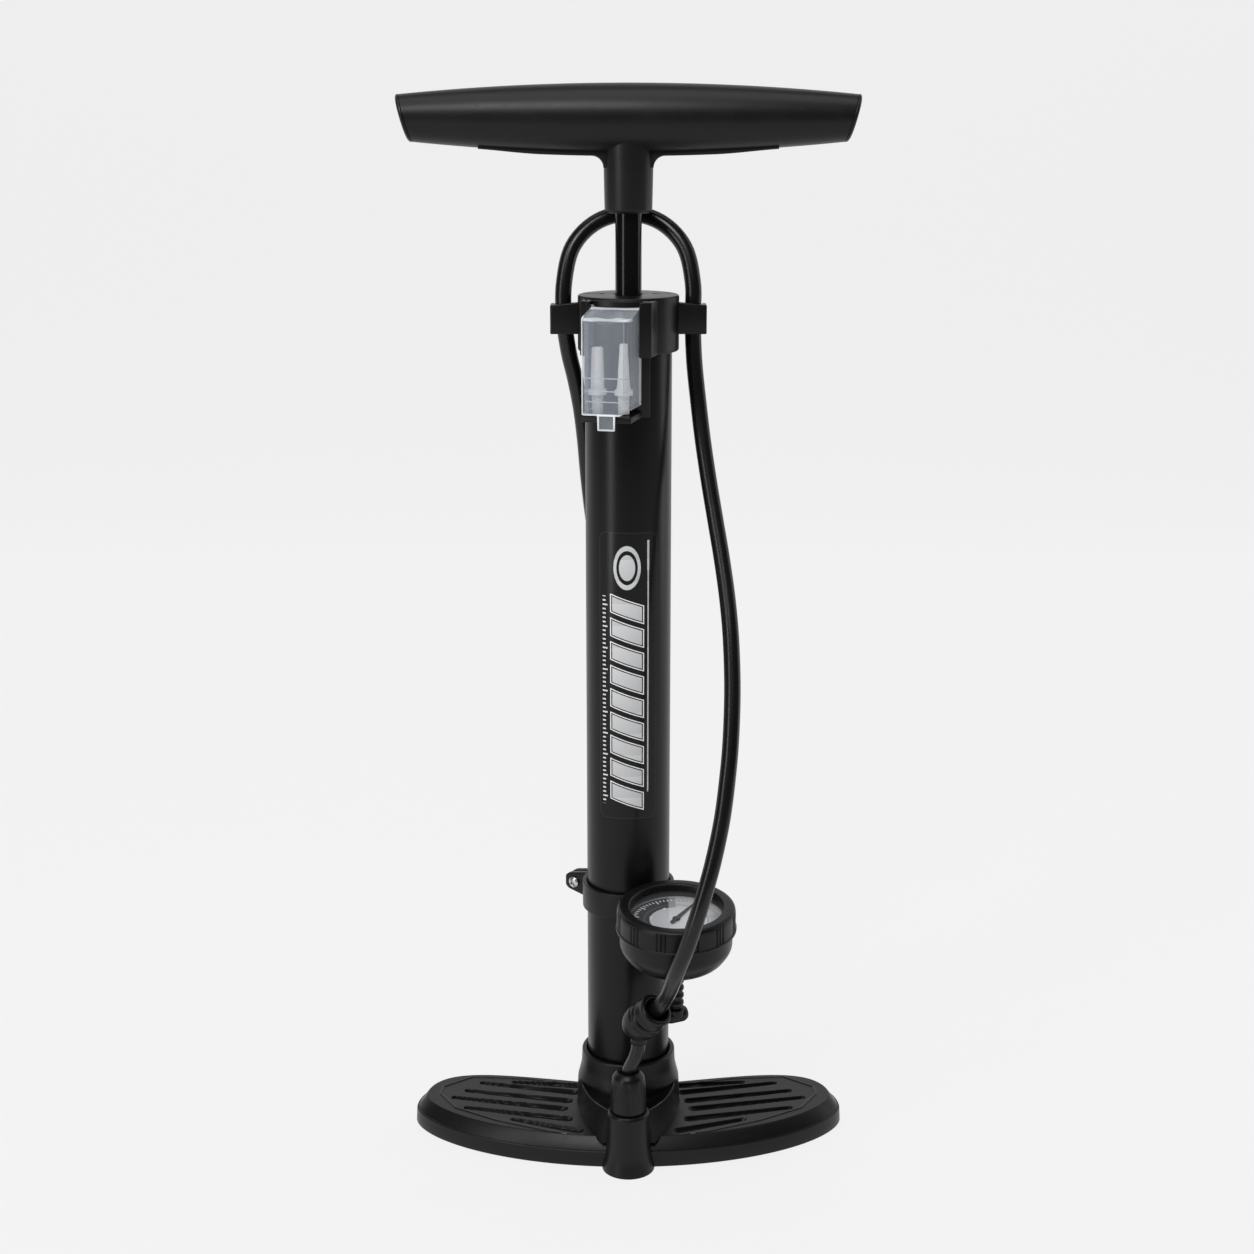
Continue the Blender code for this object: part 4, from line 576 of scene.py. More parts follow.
def printed_barrel():
    """Paint with a print on it. Its sideways measure is the angle about Z times the radius."""
    s = painted("barrel_paint", 0.0040, 0.30)
    x, y, z = s.parts(s.place())
    round_ = x.math("ARCTAN2", y * -1.0) * BARREL_R
    (left, right), (low, high) = PANEL
    side = abs(round_ - (left + right) / 2) - ((right - left) / 2 - 0.004)
    rise = abs(z - (low + high) / 2) - ((high - low) / 2 - 0.004)
    corner = (side.max(0.0) ** 2.0 + rise.max(0.0) ** 2.0) ** 0.5
    panel = corner.under(0.004, 0.0002)
    edge = corner.between(0.0036, 0.0041, 0.0002)
    (left, right), (low, high) = BARS
    pitch = (high - low) / BAR_COUNT
    along = (z - low + round_ * 0.35) / pitch
    cell = along.math("FRACT")
    inside = along.between(0.0, float(BAR_COUNT), 0.01)

    def bar(grow):
        """1 inside each slanted bar, grown by so many metres on every side."""
        share = grow / pitch
        wide = round_.between(left - grow, right + grow, 0.00012)
        return wide * cell.between(0.20 - share, 0.80 + share, 0.012) * inside

    white = bar(0.0011) - bar(0.0006)
    fill = bar(0.0)
    ring_x, ring_z = RING_AT
    reach = ((round_ - ring_x) ** 2.0 + ((z - ring_z) * 0.62) ** 2.0) ** 0.5
    ring = reach.between(0.0053, 0.0068, 0.00012) + reach.under(0.0040, 0.00012)
    rule = round_.between(0.0097, 0.0104, 0.0001) * z.between(0.1915, 0.3206, 0.0002)
    rule = rule.max(round_.between(0.0095, 0.0106, 0.0001) * z.between(0.3056, 0.3206, 0.0002))
    step = ((z - low) / 0.0022).math("FRACT").between(0.35, 0.70, 0.08)
    long_step = ((z - low) / 0.0110).math("FRACT").between(0.40, 0.60, 0.02)
    ticks = round_.between(-0.0136, -0.0118, 0.0001) * step
    ticks = ticks.max(round_.between(-0.0136, -0.0108, 0.0001) * step * long_step)
    ticks = ticks * z.between(0.1850, 0.2925, 0.0002)
    silver = fill.max(ring).max(rule)
    shade = s.mix((z * 90.0).math("FRACT"), tuple(c * 0.85 for c in SILVER), SILVER)
    coat = s.surface.inputs["Base Color"].links[0].from_socket
    base = s.mix(panel, Value(s, coat), (0.0055, 0.0055, 0.0055))
    base = s.mix(edge * 0.5, base, (0.03, 0.03, 0.03))
    base = s.mix(silver, base, shade)
    base = s.mix(white.max(ticks * 0.8), base, PALE)
    s.set("Base Color", base)
    rough = s.surface.inputs["Roughness"].links[0].from_socket
    s.set("Roughness", Value(s, rough) - panel * 0.06 + silver * 0.10)
    return s


barrel_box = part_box("barrel_tube")
low, high = barrel_box[0][2], barrel_box[1][2]
wall = rounded(
    [(BARREL_BORE, low), (BARREL_BORE, high), (BARREL_R, high), (BARREL_R, low), (BARREL_BORE, low)],
    0.0003,
)
barrel_paint = printed_barrel()
add("barrel", skin(turned(wall, 128), caps=False), barrel_paint, "frame", ["barrel_tube"])

# %% [markdown]
# ## The base
# One black moulding: two wings to stand on, a hub that takes the barrel, a web and a boss for the
# outlet. The wings are drawn as one closed surface. Its outline is a pair of formulas, front and
# back. A rim climbs the side wall and a chamfer. The top is a patch of straight lines from the
# front edge to the back one, so its rows run along the wings as the treads do. The tread slots
# are pressed into it by subtracting a depth that depends only on how far a point is from a slot's
# centre line.

# %% Wings with tread slots
WING_HALF = 0.113
WING_FRONT = 0.051
WING_BACK = 0.016
WING_TOP = 0.0145
BELT = 0.0085
CHAMFER = 0.006
SLOTS = (
    ((0.0282, 0.0104), (0.0608, 0.0145)),
    ((0.0296, 0.0027), (0.0782, 0.0135)),
    ((0.0325, -0.0066), (0.0857, 0.0047)),
    ((0.0350, -0.0154), (0.0922, -0.0030)),
    ((0.0319, -0.0266), (0.0847, -0.0144)),
    ((0.0263, -0.0391), (0.0593, -0.0272)),
)
TREAD_EDGE = (
    (0.0340, 0.0128),
    (0.0555, 0.0186),
    (0.0842, 0.0207),
    (0.0991, 0.0094),
    (0.1000, 0.0010),
    (0.0909, -0.0144),
    (0.0684, -0.0282),
    (0.0390, -0.0407),
    (0.0208, -0.0453),
)


def wing_edge(s):
    """The outline at s from 0 to 2 pi: x = -W cos s, y from the front formula, then the back one."""
    x = -WING_HALF * np.cos(s)
    share = np.minimum(np.abs(x) / WING_HALF, 1)
    front = -WING_FRONT * (1 - share**2) ** 0.6
    back = (WING_BACK + 0.2 * np.abs(x)) * np.sqrt(1 - share**5)
    return x, np.where(s <= pi, front, back)


def to_segment(x, y, a, b):
    """Distance to the segment from a to b, and the share of the way along it."""
    ax, ay = a
    dx, dy = b[0] - ax, b[1] - ay
    share = np.clip(((x - ax) * dx + (y - ay) * dy) / (dx * dx + dy * dy), 0, 1)
    return np.hypot(x - ax - share * dx, y - ay - share * dy), share


def smooth(t):
    """0 below 0, 1 above 1, and 3t^2 - 2t^3 between."""
    t = np.clip(t, 0, 1)
    return t * t * (3 - 2 * t)


def tread(x, y):
    """How far the top is pressed down, less the fine raised line round the treads."""
    side = np.abs(x)
    depth = np.zeros_like(x)
    for inner, outer in SLOTS:
        away, share = to_segment(side, y, inner, outer)
        half = 0.0026 - 0.0011 * share
        depth = np.maximum(depth, 0.0017 * smooth((half + 0.0004 - away) / 0.0007))
    line = np.full_like(x, 1.0)
    for a, b in zip(TREAD_EDGE, TREAD_EDGE[1:]):
        line = np.minimum(line, to_segment(side, y, a, b)[0])
    return depth - 0.0004 * smooth(1.4 - line / 0.0006)


def underside(x, y):
    """The height of the hollows under the wings, which leave a wall and two cross ribs."""
    side = np.abs(x)
    share = np.minimum(side / WING_HALF, 1)
    front = -WING_FRONT * (1 - share**2) ** 0.6
    back = (WING_BACK + 0.2 * side) * np.sqrt(1 - share**5)
    inside = smooth((side - 0.034) / 0.001) * smooth((0.096 - side) / 0.001)
    inside = inside * smooth((np.abs(side - 0.065) - 0.002) / 0.001)
    inside = inside * smooth((y - front - 0.0035) / 0.001) * smooth((back - 0.0075 - y) / 0.001)
    return 0.0078 * inside


def across(row, half, count):
    """A patch over a closed row: straight lines from each point of its front to one of its back."""
    front = row[: half + 1, :2]
    back = np.concatenate([row[:1, :2], row[: half - 1 : -1, :2]])
    share = np.linspace(0, 1, count)[:, None, None]
    return front[None] * (1 - share) + back[None] * share


def wings():
    """A rim that climbs the side wall and chamfer, closed by one patch on top and one below."""
    half = 300
    s = np.linspace(0, 2 * pi, 2 * half, endpoint=False)
    outline = np.stack(wing_edge(s), 1)
    t = np.linspace(0, pi / 2, 4)
    levels = [
        *zip(0.0008 * (1 - np.sin(t)), 0.0008 * (1 - np.cos(t))),
        (0.0002, 0.0045),
        (0.0004, BELT - 0.0004),
        (0.0007, BELT),
        (0.0013, BELT + 0.0001),
        (0.0015, BELT + 0.0004),
        (CHAMFER - 0.0006, WING_TOP - 0.0004),
        (CHAMFER - 0.0002, WING_TOP - 0.0001),
        (CHAMFER, WING_TOP),
    ]
    rim = outline_stack(outline, levels, "XY")
    top = across(rim[-1], half, 210)
    top_z = WING_TOP - tread(top[..., 0], top[..., 1])
    under = across(rim[0], half, 36)
    under_z = underside(under[..., 0], under[..., 1])
    return joined(
        skin(rim, caps=False),
        skin(np.concatenate([top, top_z[..., None]], -1), wrap=False, caps=False),
        skin(np.concatenate([under, under_z[..., None]], -1), wrap=False, caps=False),
    )


add("base_wings", wings(), base_plastic, "frame", ["foot_base"], sharp=30)

# %% [markdown]
# The web between hub and boss has two sharp ridges with a shallow valley between them. Its sides
# are hollow curves that run out onto the wings. A section across it is one line of points, and
# that section is carried from the hub to the boss while its width and height change.

# %% Web, hub and boss
BOSS_Y = -0.050


def web():
    """Section at share u of the way to the boss: foot, hollow side, ridge, valley and back down."""
    u = np.linspace(0, 1, 40)[:, None]
    foot = np.interp(u, [0, 0.12, 0.44, 0.84, 1], [0.0266, 0.0276, 0.0258, 0.0168, 0.0133])
    ridge = np.interp(u, [0, 0.15, 0.60, 1], [0.0262, 0.0258, 0.0178, 0.0103])
    high = np.interp(u, [0, 0.15, 1], [0.0265, 0.0275, 0.0314])
    base = WING_TOP - 0.0012
    v = np.linspace(0, 1, 14)[None, :]
    wall_x = ridge + (foot - ridge) * (1 - v) ** 2.4
    wall_z = base + (high - base) * v**0.85
    w = np.linspace(0, 1, 20)[None, 1:]
    valley = 0.0052 * np.sin(pi * np.clip(u * 0.93, 0, 1)) ** 0.7
    top_x = ridge * (1 - w)
    top_z = high + 0.0004 * np.sin(pi * np.clip(w * 8, 0, 1)) - valley * smooth(w * 1.15)
    right_x = np.concatenate([wall_x, top_x], 1)
    right_z = np.concatenate([wall_z, top_z], 1)
    x = np.concatenate([right_x, -right_x[:, -2::-1]], 1)
    z = np.concatenate([right_z, right_z[:, -2::-1]], 1)
    start = -np.sqrt(np.maximum(0, 0.0243**2 - x**2))
    end = BOSS_Y + np.sqrt(np.maximum(0, 0.0080**2 - x**2))
    return skin(np.stack([x, start + (end - start) * u, z], -1))


hub_profile = rounded(
    [
        (0.0, 0.0006),
        (0.0268, 0.0006),
        (0.0271, 0.0145),
        (0.0266, 0.0270, 0.002),
        (0.0258, 0.0300, 0.002),
        (0.0246, 0.0350, 0.003),
        (0.0243, 0.0426, 0.0010),
        (0.0238, 0.0432, 0.0003),
        (0.0220, 0.0432, 0.0004),
        (0.0217, 0.0424, 0.0004),
        (0.0215, 0.0200),
        (0.0170, 0.0200),
        (0.0170, 0.0120),
        (0.0, 0.0120),
    ],
    0.0006,
)
boss_profile = rounded(
    [
        (0.0, 0.0),
        (0.0135, 0.0, 0.0006),
        (0.0128, 0.0030, 0.002),
        (0.0117, 0.0075, 0.003),
        (0.0110, 0.0140, 0.004),
        (0.0107, 0.0306, 0.0008),
        (0.0099, 0.0319, 0.0005),
        (0.0064, 0.0319, 0.0004),
        (0.0064, 0.0120),
        (0.0, 0.0120),
    ],
)
hub_and_boss = joined(
    skin(turned(hub_profile, 128), caps=False),
    skin(placed(turned(boss_profile, 96), (0, BOSS_Y, 0)), caps=False),
    web(),
)
add("base_hub", hub_and_boss, base_plastic, "frame", ["foot_base"], sharp=50)

# %% [markdown]
# ## Feed hose, nuts and tee
# A fluted nut holds a short hose to the boss. The hose bends up into a tee fitting, whose leaning
# nut takes the long hose and whose side arm carries the gauge's stem. Each of these is a turned
# profile set on its own leaning axis.

# %% Outlet nut and feed hose
FEED_ROUTE = (
    (0.0050, -0.0523, 0.0695),
    (0.0047, -0.0527, 0.0665),
    (0.0034, -0.0529, 0.0622),
    (0.0014, -0.0516, 0.0572),
    (0.0, BOSS_Y, 0.0525),
    (0.0, BOSS_Y, 0.0482),
    (0.0, BOSS_Y, 0.0440),
)
feed_path = smooth_path(FEED_ROUTE, 0.0012)
add("feed_hose_tube", skin(swept(feed_path, 0.0035, 24)), hose_rubber, "frame", ["feed_hose"])


def nut_flutes(t, r, z):
    """Eight shallow flutes on the outer wall, fading out at the shoulder and at the foot."""
    wall = smooth((r - 0.0078) / 0.0006) * smooth((z - 0.0335) / 0.002) * smooth((0.0510 - z) / 0.004)
    return -0.0007 * wall * smooth(np.cos(8 * t) * 2.2 - 0.9)


outlet_nut = rounded(
    [
        (0.0065, 0.0325),
        (0.0088, 0.0325, 0.0004),
        (0.0090, 0.0335),
        (0.0090, 0.0462, 0.003),
        (0.0080, 0.0512, 0.003),
        (0.0058, 0.0534, 0.0012),
        (0.0042, 0.0534, 0.0005),
        (0.0040, 0.0460),
        (0.0064, 0.0400),
        (0.0065, 0.0325),
    ],
    0.0005,
)
nut_points = placed(turned(outlet_nut, 160, nut_flutes), (0, BOSS_Y, 0))
add("outlet_nut_cap", skin(nut_points, caps=False), body_plastic, "frame", ["outlet_nut"])

# %% [markdown]
# The tee is moulded in one piece: a round body on a leaning axis, a spout that points down into
# the feed hose, and an arm whose end turns up to the gauge. Each part is turned about its own
# direction, and they are put together as one mesh.

# %% Tee fitting and its nut
TEE = np.array([0.0060, -0.0510, 0.0805])
TEE_AXIS = np.array([0.52, -0.50, 0.69]) / np.linalg.norm([0.52, -0.50, 0.69])
STEM_FOOT = 0.0570
LEAN = radians(5.4)
GAUGE_AT = np.array([0.0237, -sqrt(0.0540**2 - 0.0237**2), 0.1423])
GAUGE_AXES = np.array([[1, 0, 0], [0, cos(LEAN), -sin(LEAN)], [0, sin(LEAN), cos(LEAN)]])
tee_body = rounded(
    [
        (0.0, -0.0094),
        (0.0046, -0.0088, 0.002),
        (0.0080, -0.0052, 0.003),
        (0.0094, 0.0000, 0.003),
        (0.0095, 0.0040, 0.0008),
        (0.0090, 0.0048, 0.0004),
        (0.0090, 0.0062, 0.0004),
        (0.0082, 0.0074, 0.0005),
        (0.0, 0.0074),
    ]
)
arm_end = GAUGE_AT + GAUGE_AXES @ np.array([0, 0, -STEM_FOOT - 0.0045])
arm_way = (arm_end - TEE) / np.linalg.norm(arm_end - TEE)
arm_length = float(np.linalg.norm(arm_end - TEE))
arm = rounded(
    [
        (0.0, 0.0),
        (0.0042, 0.0),
        (0.0042, arm_length - 0.0070, 0.002),
        (0.0036, arm_length - 0.0045, 0.001),
        (0.0041, arm_length - 0.0030, 0.001),
        (0.0042, arm_length + 0.0042, 0.0012),
        (0.0030, arm_length + 0.0062, 0.0010),
        (0.0, arm_length + 0.0064),
    ]
)
pad = rounded([(0, 0), (0.0046, 0), (0.0046, 0.0042, 0.0005), (0.0, 0.0042)])
spout_foot = np.array(FEED_ROUTE[0])
spout_way = (spout_foot - TEE) / np.linalg.norm(spout_foot - TEE)
spout_length = float(np.linalg.norm(spout_foot - TEE)) - 0.0003
spout = rounded(
    [(0, 0), (0.0046, 0), (0.0044, 0.0060, 0.001), (0.0038, spout_length, 0.0006), (0, spout_length)]
)
tee_shape = joined(
    skin(placed(turned(tee_body, 96), TEE, axes_to(TEE_AXIS)), caps=False),
    skin(placed(turned(arm, 48), TEE, axes_to(arm_way)), caps=False),
    skin(placed(turned(pad, 48), arm_end, GAUGE_AXES), caps=False),
    skin(placed(turned(spout, 48), TEE, axes_to(spout_way)), caps=False),
)
add("tee_body", tee_shape, body_plastic, "frame", ["tee_fitting"], sharp=50)
tee_nut = rounded(
    [
        (0.0046, 0.0077),
        (0.0082, 0.0077, 0.0003),
        (0.0092, 0.0090, 0.0006),
        (0.0086, 0.0124, 0.0010),
        (0.0087, 0.0150, 0.0006),
        (0.0080, 0.0159, 0.0006),
        (0.0064, 0.0159, 0.0004),
        (0.0052, 0.0137, 0.0006),
        (0.0046, 0.0130),
        (0.0046, 0.0077),
    ]
)
tee_nut_shape = skin(placed(turned(tee_nut, 96), TEE, axes_to(TEE_AXIS)), caps=False)
add("tee_nut_cap", tee_nut_shape, body_plastic, "frame", ["tee_nut"])

# %% [markdown]
# ## Top cap and hose hooks
# The cap is a turned moulding that closes the barrel and guides the rod. Two small holes take the
# key that screws it on. A hook at each side holds the hose: an arm in front of it and a tab round
# its outer side.

# %% Top cap
CAP_Z = 0.4374
CAP_LOW = 0.4106
CAP_R = 0.0245
KEY_HOLE = (0.0128, 0.0040, 0.0014)


def cap_body():
    """The turned cap, with its top pressed down inside the two key holes."""
    fine = [(r, CAP_Z) for r in np.linspace(0.0112, 0.0148, 28)]
    inner = [(0.0069, CAP_Z - 0.0016), (0.0069, CAP_Z - 0.0004), (0.0073, CAP_Z)]
    rim = rounded([(0.0148, CAP_Z), (CAP_R, CAP_Z, 0.0011), (CAP_R, CAP_LOW, 0.0015), (0.0216, CAP_LOW)])
    under = [(0.0216, 0.4334), (0.0138, 0.4334), (0.0138, 0.4224), (0.0099, 0.4224)]
    top = [(0.0099, CAP_Z - 0.0016), (0.0069, CAP_Z - 0.0016)]
    points = turned([*inner, *fine, *rim[1:], *under, *top], 320)
    x, y, r = KEY_HOLE
    away = np.hypot(np.abs(points[..., 0]) - x, points[..., 1] - y)
    on_top = points[..., 2] > CAP_Z - 0.0002
    points[..., 2] -= 0.0019 * on_top * smooth((r + 0.0001 - away) / 0.0002)
    return skin(points, caps=False)


def ring_line(inner, outer, low, high):
    """A ring's section as a closed rectangle, from its bore out and back again."""
    return [(inner, low), (outer, low), (outer, high), (inner, high), (inner, low)]


def slab(outline, low, high, place="XY", edge=0.0005, corner=0.0008):
    """A flat body: a rounded outline, with rounded edges at both faces."""
    line = rounded(outline, corner, 4, closed=True)
    return skin(outline_stack(line, pillow_levels(low, high, edge), place))


def hook(side):
    """An arm in front of the hose with a tab round its outer side; its top rises towards the cap."""
    arm = [(0.0205, -0.0050), (0.0377, -0.0054), (0.0377, 0.0066), (0.0357, 0.0066), (0.0357, -0.0010)]
    outline = [(side * x, y) for x, y in [*arm, (0.0205, -0.0010)]]
    points, faces = slab(outline, 0.4188, 0.4326, corner=0.0009)
    high = points[:, 2] > 0.4257
    points[:, 2] += high * 0.0016 * np.clip((0.0377 - np.abs(points[:, 0])) / 0.0147, 0, 1)
    return points, faces


cap_shape = joined(cap_body(), hook(-1), hook(1))
add("cap_and_hooks", cap_shape, body_plastic, "frame", ["top_cap"], sharp=50)

# %% [markdown]
# ## Accessory box
# A bracket behind the box grips the cap. Two nylon adapters stand on its shelf, and a clear cover
# hinges over them on two small bumps. The cover is one thin sheet: it runs from the lower rim up
# the left, front and right walls and over the sloping roof to the back. It is made as one grid and
# then given its wall thickness.

# %% Bracket and adapters
SIDE_TURN = radians(-15)
SIDE_AXES = np.array(Matrix.Rotation(SIDE_TURN, 3, "Z"))
BOX_LEFT, BOX_RIGHT, BOX_FRONT = -0.0111, 0.01305, -0.0460
BOX_LOW, BOX_HIGH, BOX_BACK_HIGH, BOX_BACK_R = 0.3850, 0.4300, 0.4337, 0.0285
PLATE_IN, PLATE_OUT = 0.0248, 0.0268


def aside(shape):
    """A shape from the accessory box's own frame, turned a little to the left of the front."""
    points, faces = shape
    return placed(points, axes=SIDE_AXES), faces


def bend(radius, left, right, count):
    """Points on an arc about Z, from one angle to another, counted from the front."""
    t = np.linspace(left, right, count)
    return list(zip(radius * np.sin(t), -radius * np.cos(t)))


def back_y(x, radius):
    """The front of a circle about Z: y = -sqrt(radius^2 - x^2)."""
    return -sqrt(radius * radius - x * x)


plate = bend(PLATE_OUT, radians(-33), radians(38), 24) + bend(PLATE_IN, radians(38), radians(-33), 24)
shelf = [
    (BOX_LEFT, BOX_FRONT + 0.0016),
    (BOX_RIGHT, BOX_FRONT + 0.0016),
    (BOX_RIGHT, back_y(BOX_RIGHT, 0.0258)),
    (BOX_LEFT, back_y(BOX_LEFT, 0.0258)),
]
cheeks = [
    [
        (near, -0.0312),
        (far, -0.0285),
        (far, back_y(far, PLATE_IN)),
        (near, back_y(near, 0.0263)),
    ]
    for near, far in ((BOX_LEFT - 0.0003, BOX_LEFT - 0.0052), (BOX_RIGHT + 0.0003, BOX_RIGHT + 0.0058))
]
bracket = joined(
    slab(plate, 0.3815, 0.4365, edge=0.0004, corner=0.0006),
    slab(shelf, 0.3815, 0.3845, edge=0.0005),
    *[slab(cheek, CAP_LOW, 0.4365, edge=0.0007) for cheek in cheeks],
)
add("box_bracket", aside(bracket), body_plastic, "frame", ["accessory_bracket"], sharp=50)
NOZZLE_FOOT = [(0.0015, 0.3848), (0.0027, 0.3848), (0.0027, 0.3933), (0.0044, 0.3938), (0.0044, 0.3960)]
cone = [*NOZZLE_FOOT, (0.0034, 0.3966), (0.0030, 0.3985), (0.00185, 0.4178), (0.0011, 0.4178)]
cone += [(0.0009, 0.4160), (0.0015, 0.3900), (0.0015, 0.3848)]
blunt = [*NOZZLE_FOOT, (0.0033, 0.3964), (0.00275, 0.4153), (0.0022, 0.4160), (0.0014, 0.4160)]
blunt += [(0.0013, 0.4140), (0.0015, 0.3900), (0.0015, 0.3848)]
for name, node, profile, x in (
    ("cone_adapter", "cone_nozzle", cone, 0.0073),
    ("blunt_adapter", "valve_adapter", blunt, -0.0054),
):
    points = placed(turned(rounded(profile, 0.0002), 48), (x, -0.036, 0))
    add(name, aside(skin(points, caps=False)), white_nylon, "frame", [node])

# %% [markdown]
# The cover's grid has a row for each height. Its columns run along a U-shaped line: left wall,
# front, right wall. The last rows leave the walls and run back over the roof. Its corners and rims
# shine white, because light that travels inside clear plastic comes out there. The material finds
# them from the point's place in the box's own frame.

# %% Clear cover
WALL = 0.0011


def clear(name, colour, low, high, rough):
    """Clear plastic: it lets most light through face on, and looks white and solid at its edges."""
    s = Shader(name, colour, rough)
    facing = s.node("LayerWeight", None, Blend=0.35, out=1)
    cloud = s.noise(0.004, 4.0)
    s.alpha = (facing**3.0) * (high - low) + low + cloud * low * 0.3
    # Where the surface is seen edge-on its colour is mixed towards pale white: a painted reflection, not a
    # tint of the plastic.
    s.colour = s.mix(facing**3.0, colour, (0.80, 0.83, 0.86))
    s.set("Alpha", s.alpha)
    s.set("Base Color", s.colour)
    s.set("Roughness", rough + cloud * 0.12)
    s.set("Normal", s.bump(s.noise(0.0022, 3.0), 0.00001))
    return s


def edged_cover():
    """Clear plastic whose corners and rims shine white, where light inside it comes out."""
    s = clear("cover_clear_wavy", (0.46, 0.51, 0.58), 0.18, 0.80, 0.12)
    place = s.place()
    x = s.node("VectorMath", {"operation": "DOT_PRODUCT"}, place, tuple(SIDE_AXES[:, 0]), out=1)
    y = s.node("VectorMath", {"operation": "DOT_PRODUCT"}, place, tuple(SIDE_AXES[:, 1]), out=1)
    z = s.parts(place)[2]
    front = y.under(BOX_FRONT + 0.0045, 0.0003)
    middle = (BOX_LEFT + BOX_RIGHT) / 2
    half = (BOX_RIGHT - BOX_LEFT) / 2
    side = (middle - x).under(half - 0.0010, 0.0003)
    side = (1.0 - side) * front
    far = (1.0 - y.under(back_y(BOX_RIGHT, BOX_BACK_R) - 0.0007, 0.0003)) * (1.0 - x.under(middle, 0.0003))
    rim = z.between(BOX_LOW - 0.0001, BOX_LOW + 0.0008, 0.0002)
    top = z.between(BOX_HIGH - 0.0011, BOX_HIGH + 0.0003, 0.0004) * front
    back = z.between(BOX_BACK_HIGH - 0.0007, BOX_BACK_HIGH + 0.001, 0.0003)
    tab_x = abs(x - 0.0014)
    tab = z.under(BOX_LOW, 0.0002) * (1.0 - tab_x.under(0.0035, 0.0002)).max(z.under(0.3787, 0.0002))
    line = side.max(far).max(rim).max(top * 0.6).max(back * 0.8).max(tab)
    s.set("Alpha", (s.alpha + line * 0.70).min(1.0))
    s.set("Base Color", s.mix(line, s.colour, (0.88, 0.90, 0.92)))
    return s


def cover_line():
    """The plan line from the left wall's back edge round the front to the right wall's back edge."""
    left_back = (BOX_LEFT, back_y(BOX_LEFT, BOX_BACK_R))
    right_back = (BOX_RIGHT, back_y(BOX_RIGHT, BOX_BACK_R))
    corners = [left_back, (BOX_LEFT, BOX_FRONT), (BOX_RIGHT, BOX_FRONT), right_back]
    line = rounded(corners, 0.0032, 8)
    along = np.concatenate([[0], np.cumsum(np.linalg.norm(np.diff(line, axis=0), axis=1))])
    tab = [-0.0028, 0.0056]
    front_start = float(np.interp(0.5, [0, 1], [along[7], along[8]]))
    at_x = np.interp([e + d for e in tab for d in (-0.0001, 0.0001)], line[:, 0], along)
    steps = np.unique(np.concatenate([np.linspace(0, along[-1], 64), along, at_x, [front_start]]))
    return np.stack([np.interp(steps, along, line[:, i]) for i in (0, 1)], 1)


ROOF_SCOOP = 0.0016


def cover_sheet():
    """Rows go up the wall, round the edge of the roof and back to the roof's rear edge."""
    line = cover_line()
    x, y = line[:, 0], line[:, 1]
    share = np.clip((y - BOX_FRONT) / (-BOX_BACK_R - BOX_FRONT), 0, 1)
    across = np.clip(2 * (x - BOX_LEFT) / (BOX_RIGHT - BOX_LEFT) - 1, -1, 1)
    scoop = ROOF_SCOOP * np.cos(np.pi / 2 * across) ** 2
    top_z = BOX_HIGH + (BOX_BACK_HIGH - BOX_HIGH) * share - scoop
    in_tab = (x > -0.0028) & (x < 0.0056) & (y < BOX_FRONT + 0.0002)
    low_z = np.where(in_tab, 0.3780, BOX_LOW)
    low_z = low_z + ~in_tab * 0.0030 * np.clip((x - BOX_RIGHT + 0.0050) / 0.0045, 0, 1)
    back_x = np.linspace(BOX_LEFT, BOX_RIGHT, len(x))
    rear = np.stack([back_x, -np.sqrt(BOX_BACK_R**2 - back_x**2), np.full_like(x, BOX_BACK_HIGH)], 1)
    low = np.stack([x, y, low_z], 1)
    top = np.stack([x, y, top_z], 1)
    reach = np.minimum(0.0012, 0.4 * np.linalg.norm(rear - top, axis=1, keepdims=True))
    down = top - [0, 0, 0.0012]
    way = rear - top
    over = top + way / (np.linalg.norm(way, axis=1, keepdims=True) + 1e-9) * reach
    t = np.linspace(0, 1, 6)[:, None, None]
    wall = low[None] + (down - low)[None] * np.linspace(0, 1, 16)[:, None, None]
    edge = (1 - t) ** 2 * down[None] + 2 * t * (1 - t) * top[None] + t**2 * over[None]
    roof = over[None] + (rear - over)[None] * np.linspace(0, 1, 12)[1:, None, None]
    return skin(np.concatenate([wall, edge[1:], roof]), wrap=False, caps=False)


cover_clear = edged_cover()
cover = add("clear_cover", aside(cover_sheet()), cover_clear, "cover", ["accessory_cover"], sharp=60)
wall = cover.modifiers.new("wall", "SOLIDIFY")
wall.thickness = WALL
wall.offset = -1.0
normal_y = sum(p.normal.y * p.area for p in cover.data.polygons)
if normal_y > 0:
    cover.data.flip_normals()
rib_clear = clear("rib_clear", (0.75, 0.78, 0.82), 0.55, 0.95, 0.2)
rib_line = [(-0.0092, -0.0448), (0.0112, -0.0448), (0.0112, -0.0436), (-0.0092, -0.0436)]
ribs = joined(*[slab(rib_line, z, z + 0.0005, edge=0.0001) for z in (0.3911, 0.3961, 0.4021)])
add("cover_ribs", aside(ribs), rib_clear, "cover")
print("cover faces look outwards:", sum(p.normal.y * p.area for p in cover.data.polygons) < 0)

# %% [markdown]
# ## Rod and handle
# The rod is a black tube with a gloss coat, because it slides through the cap. The grip is a
# barrel shape whose radius falls off with the square of the distance from the middle. Its ends
# lean, so the top is longer than the underside. A slot along the underside takes the yoke's strip.

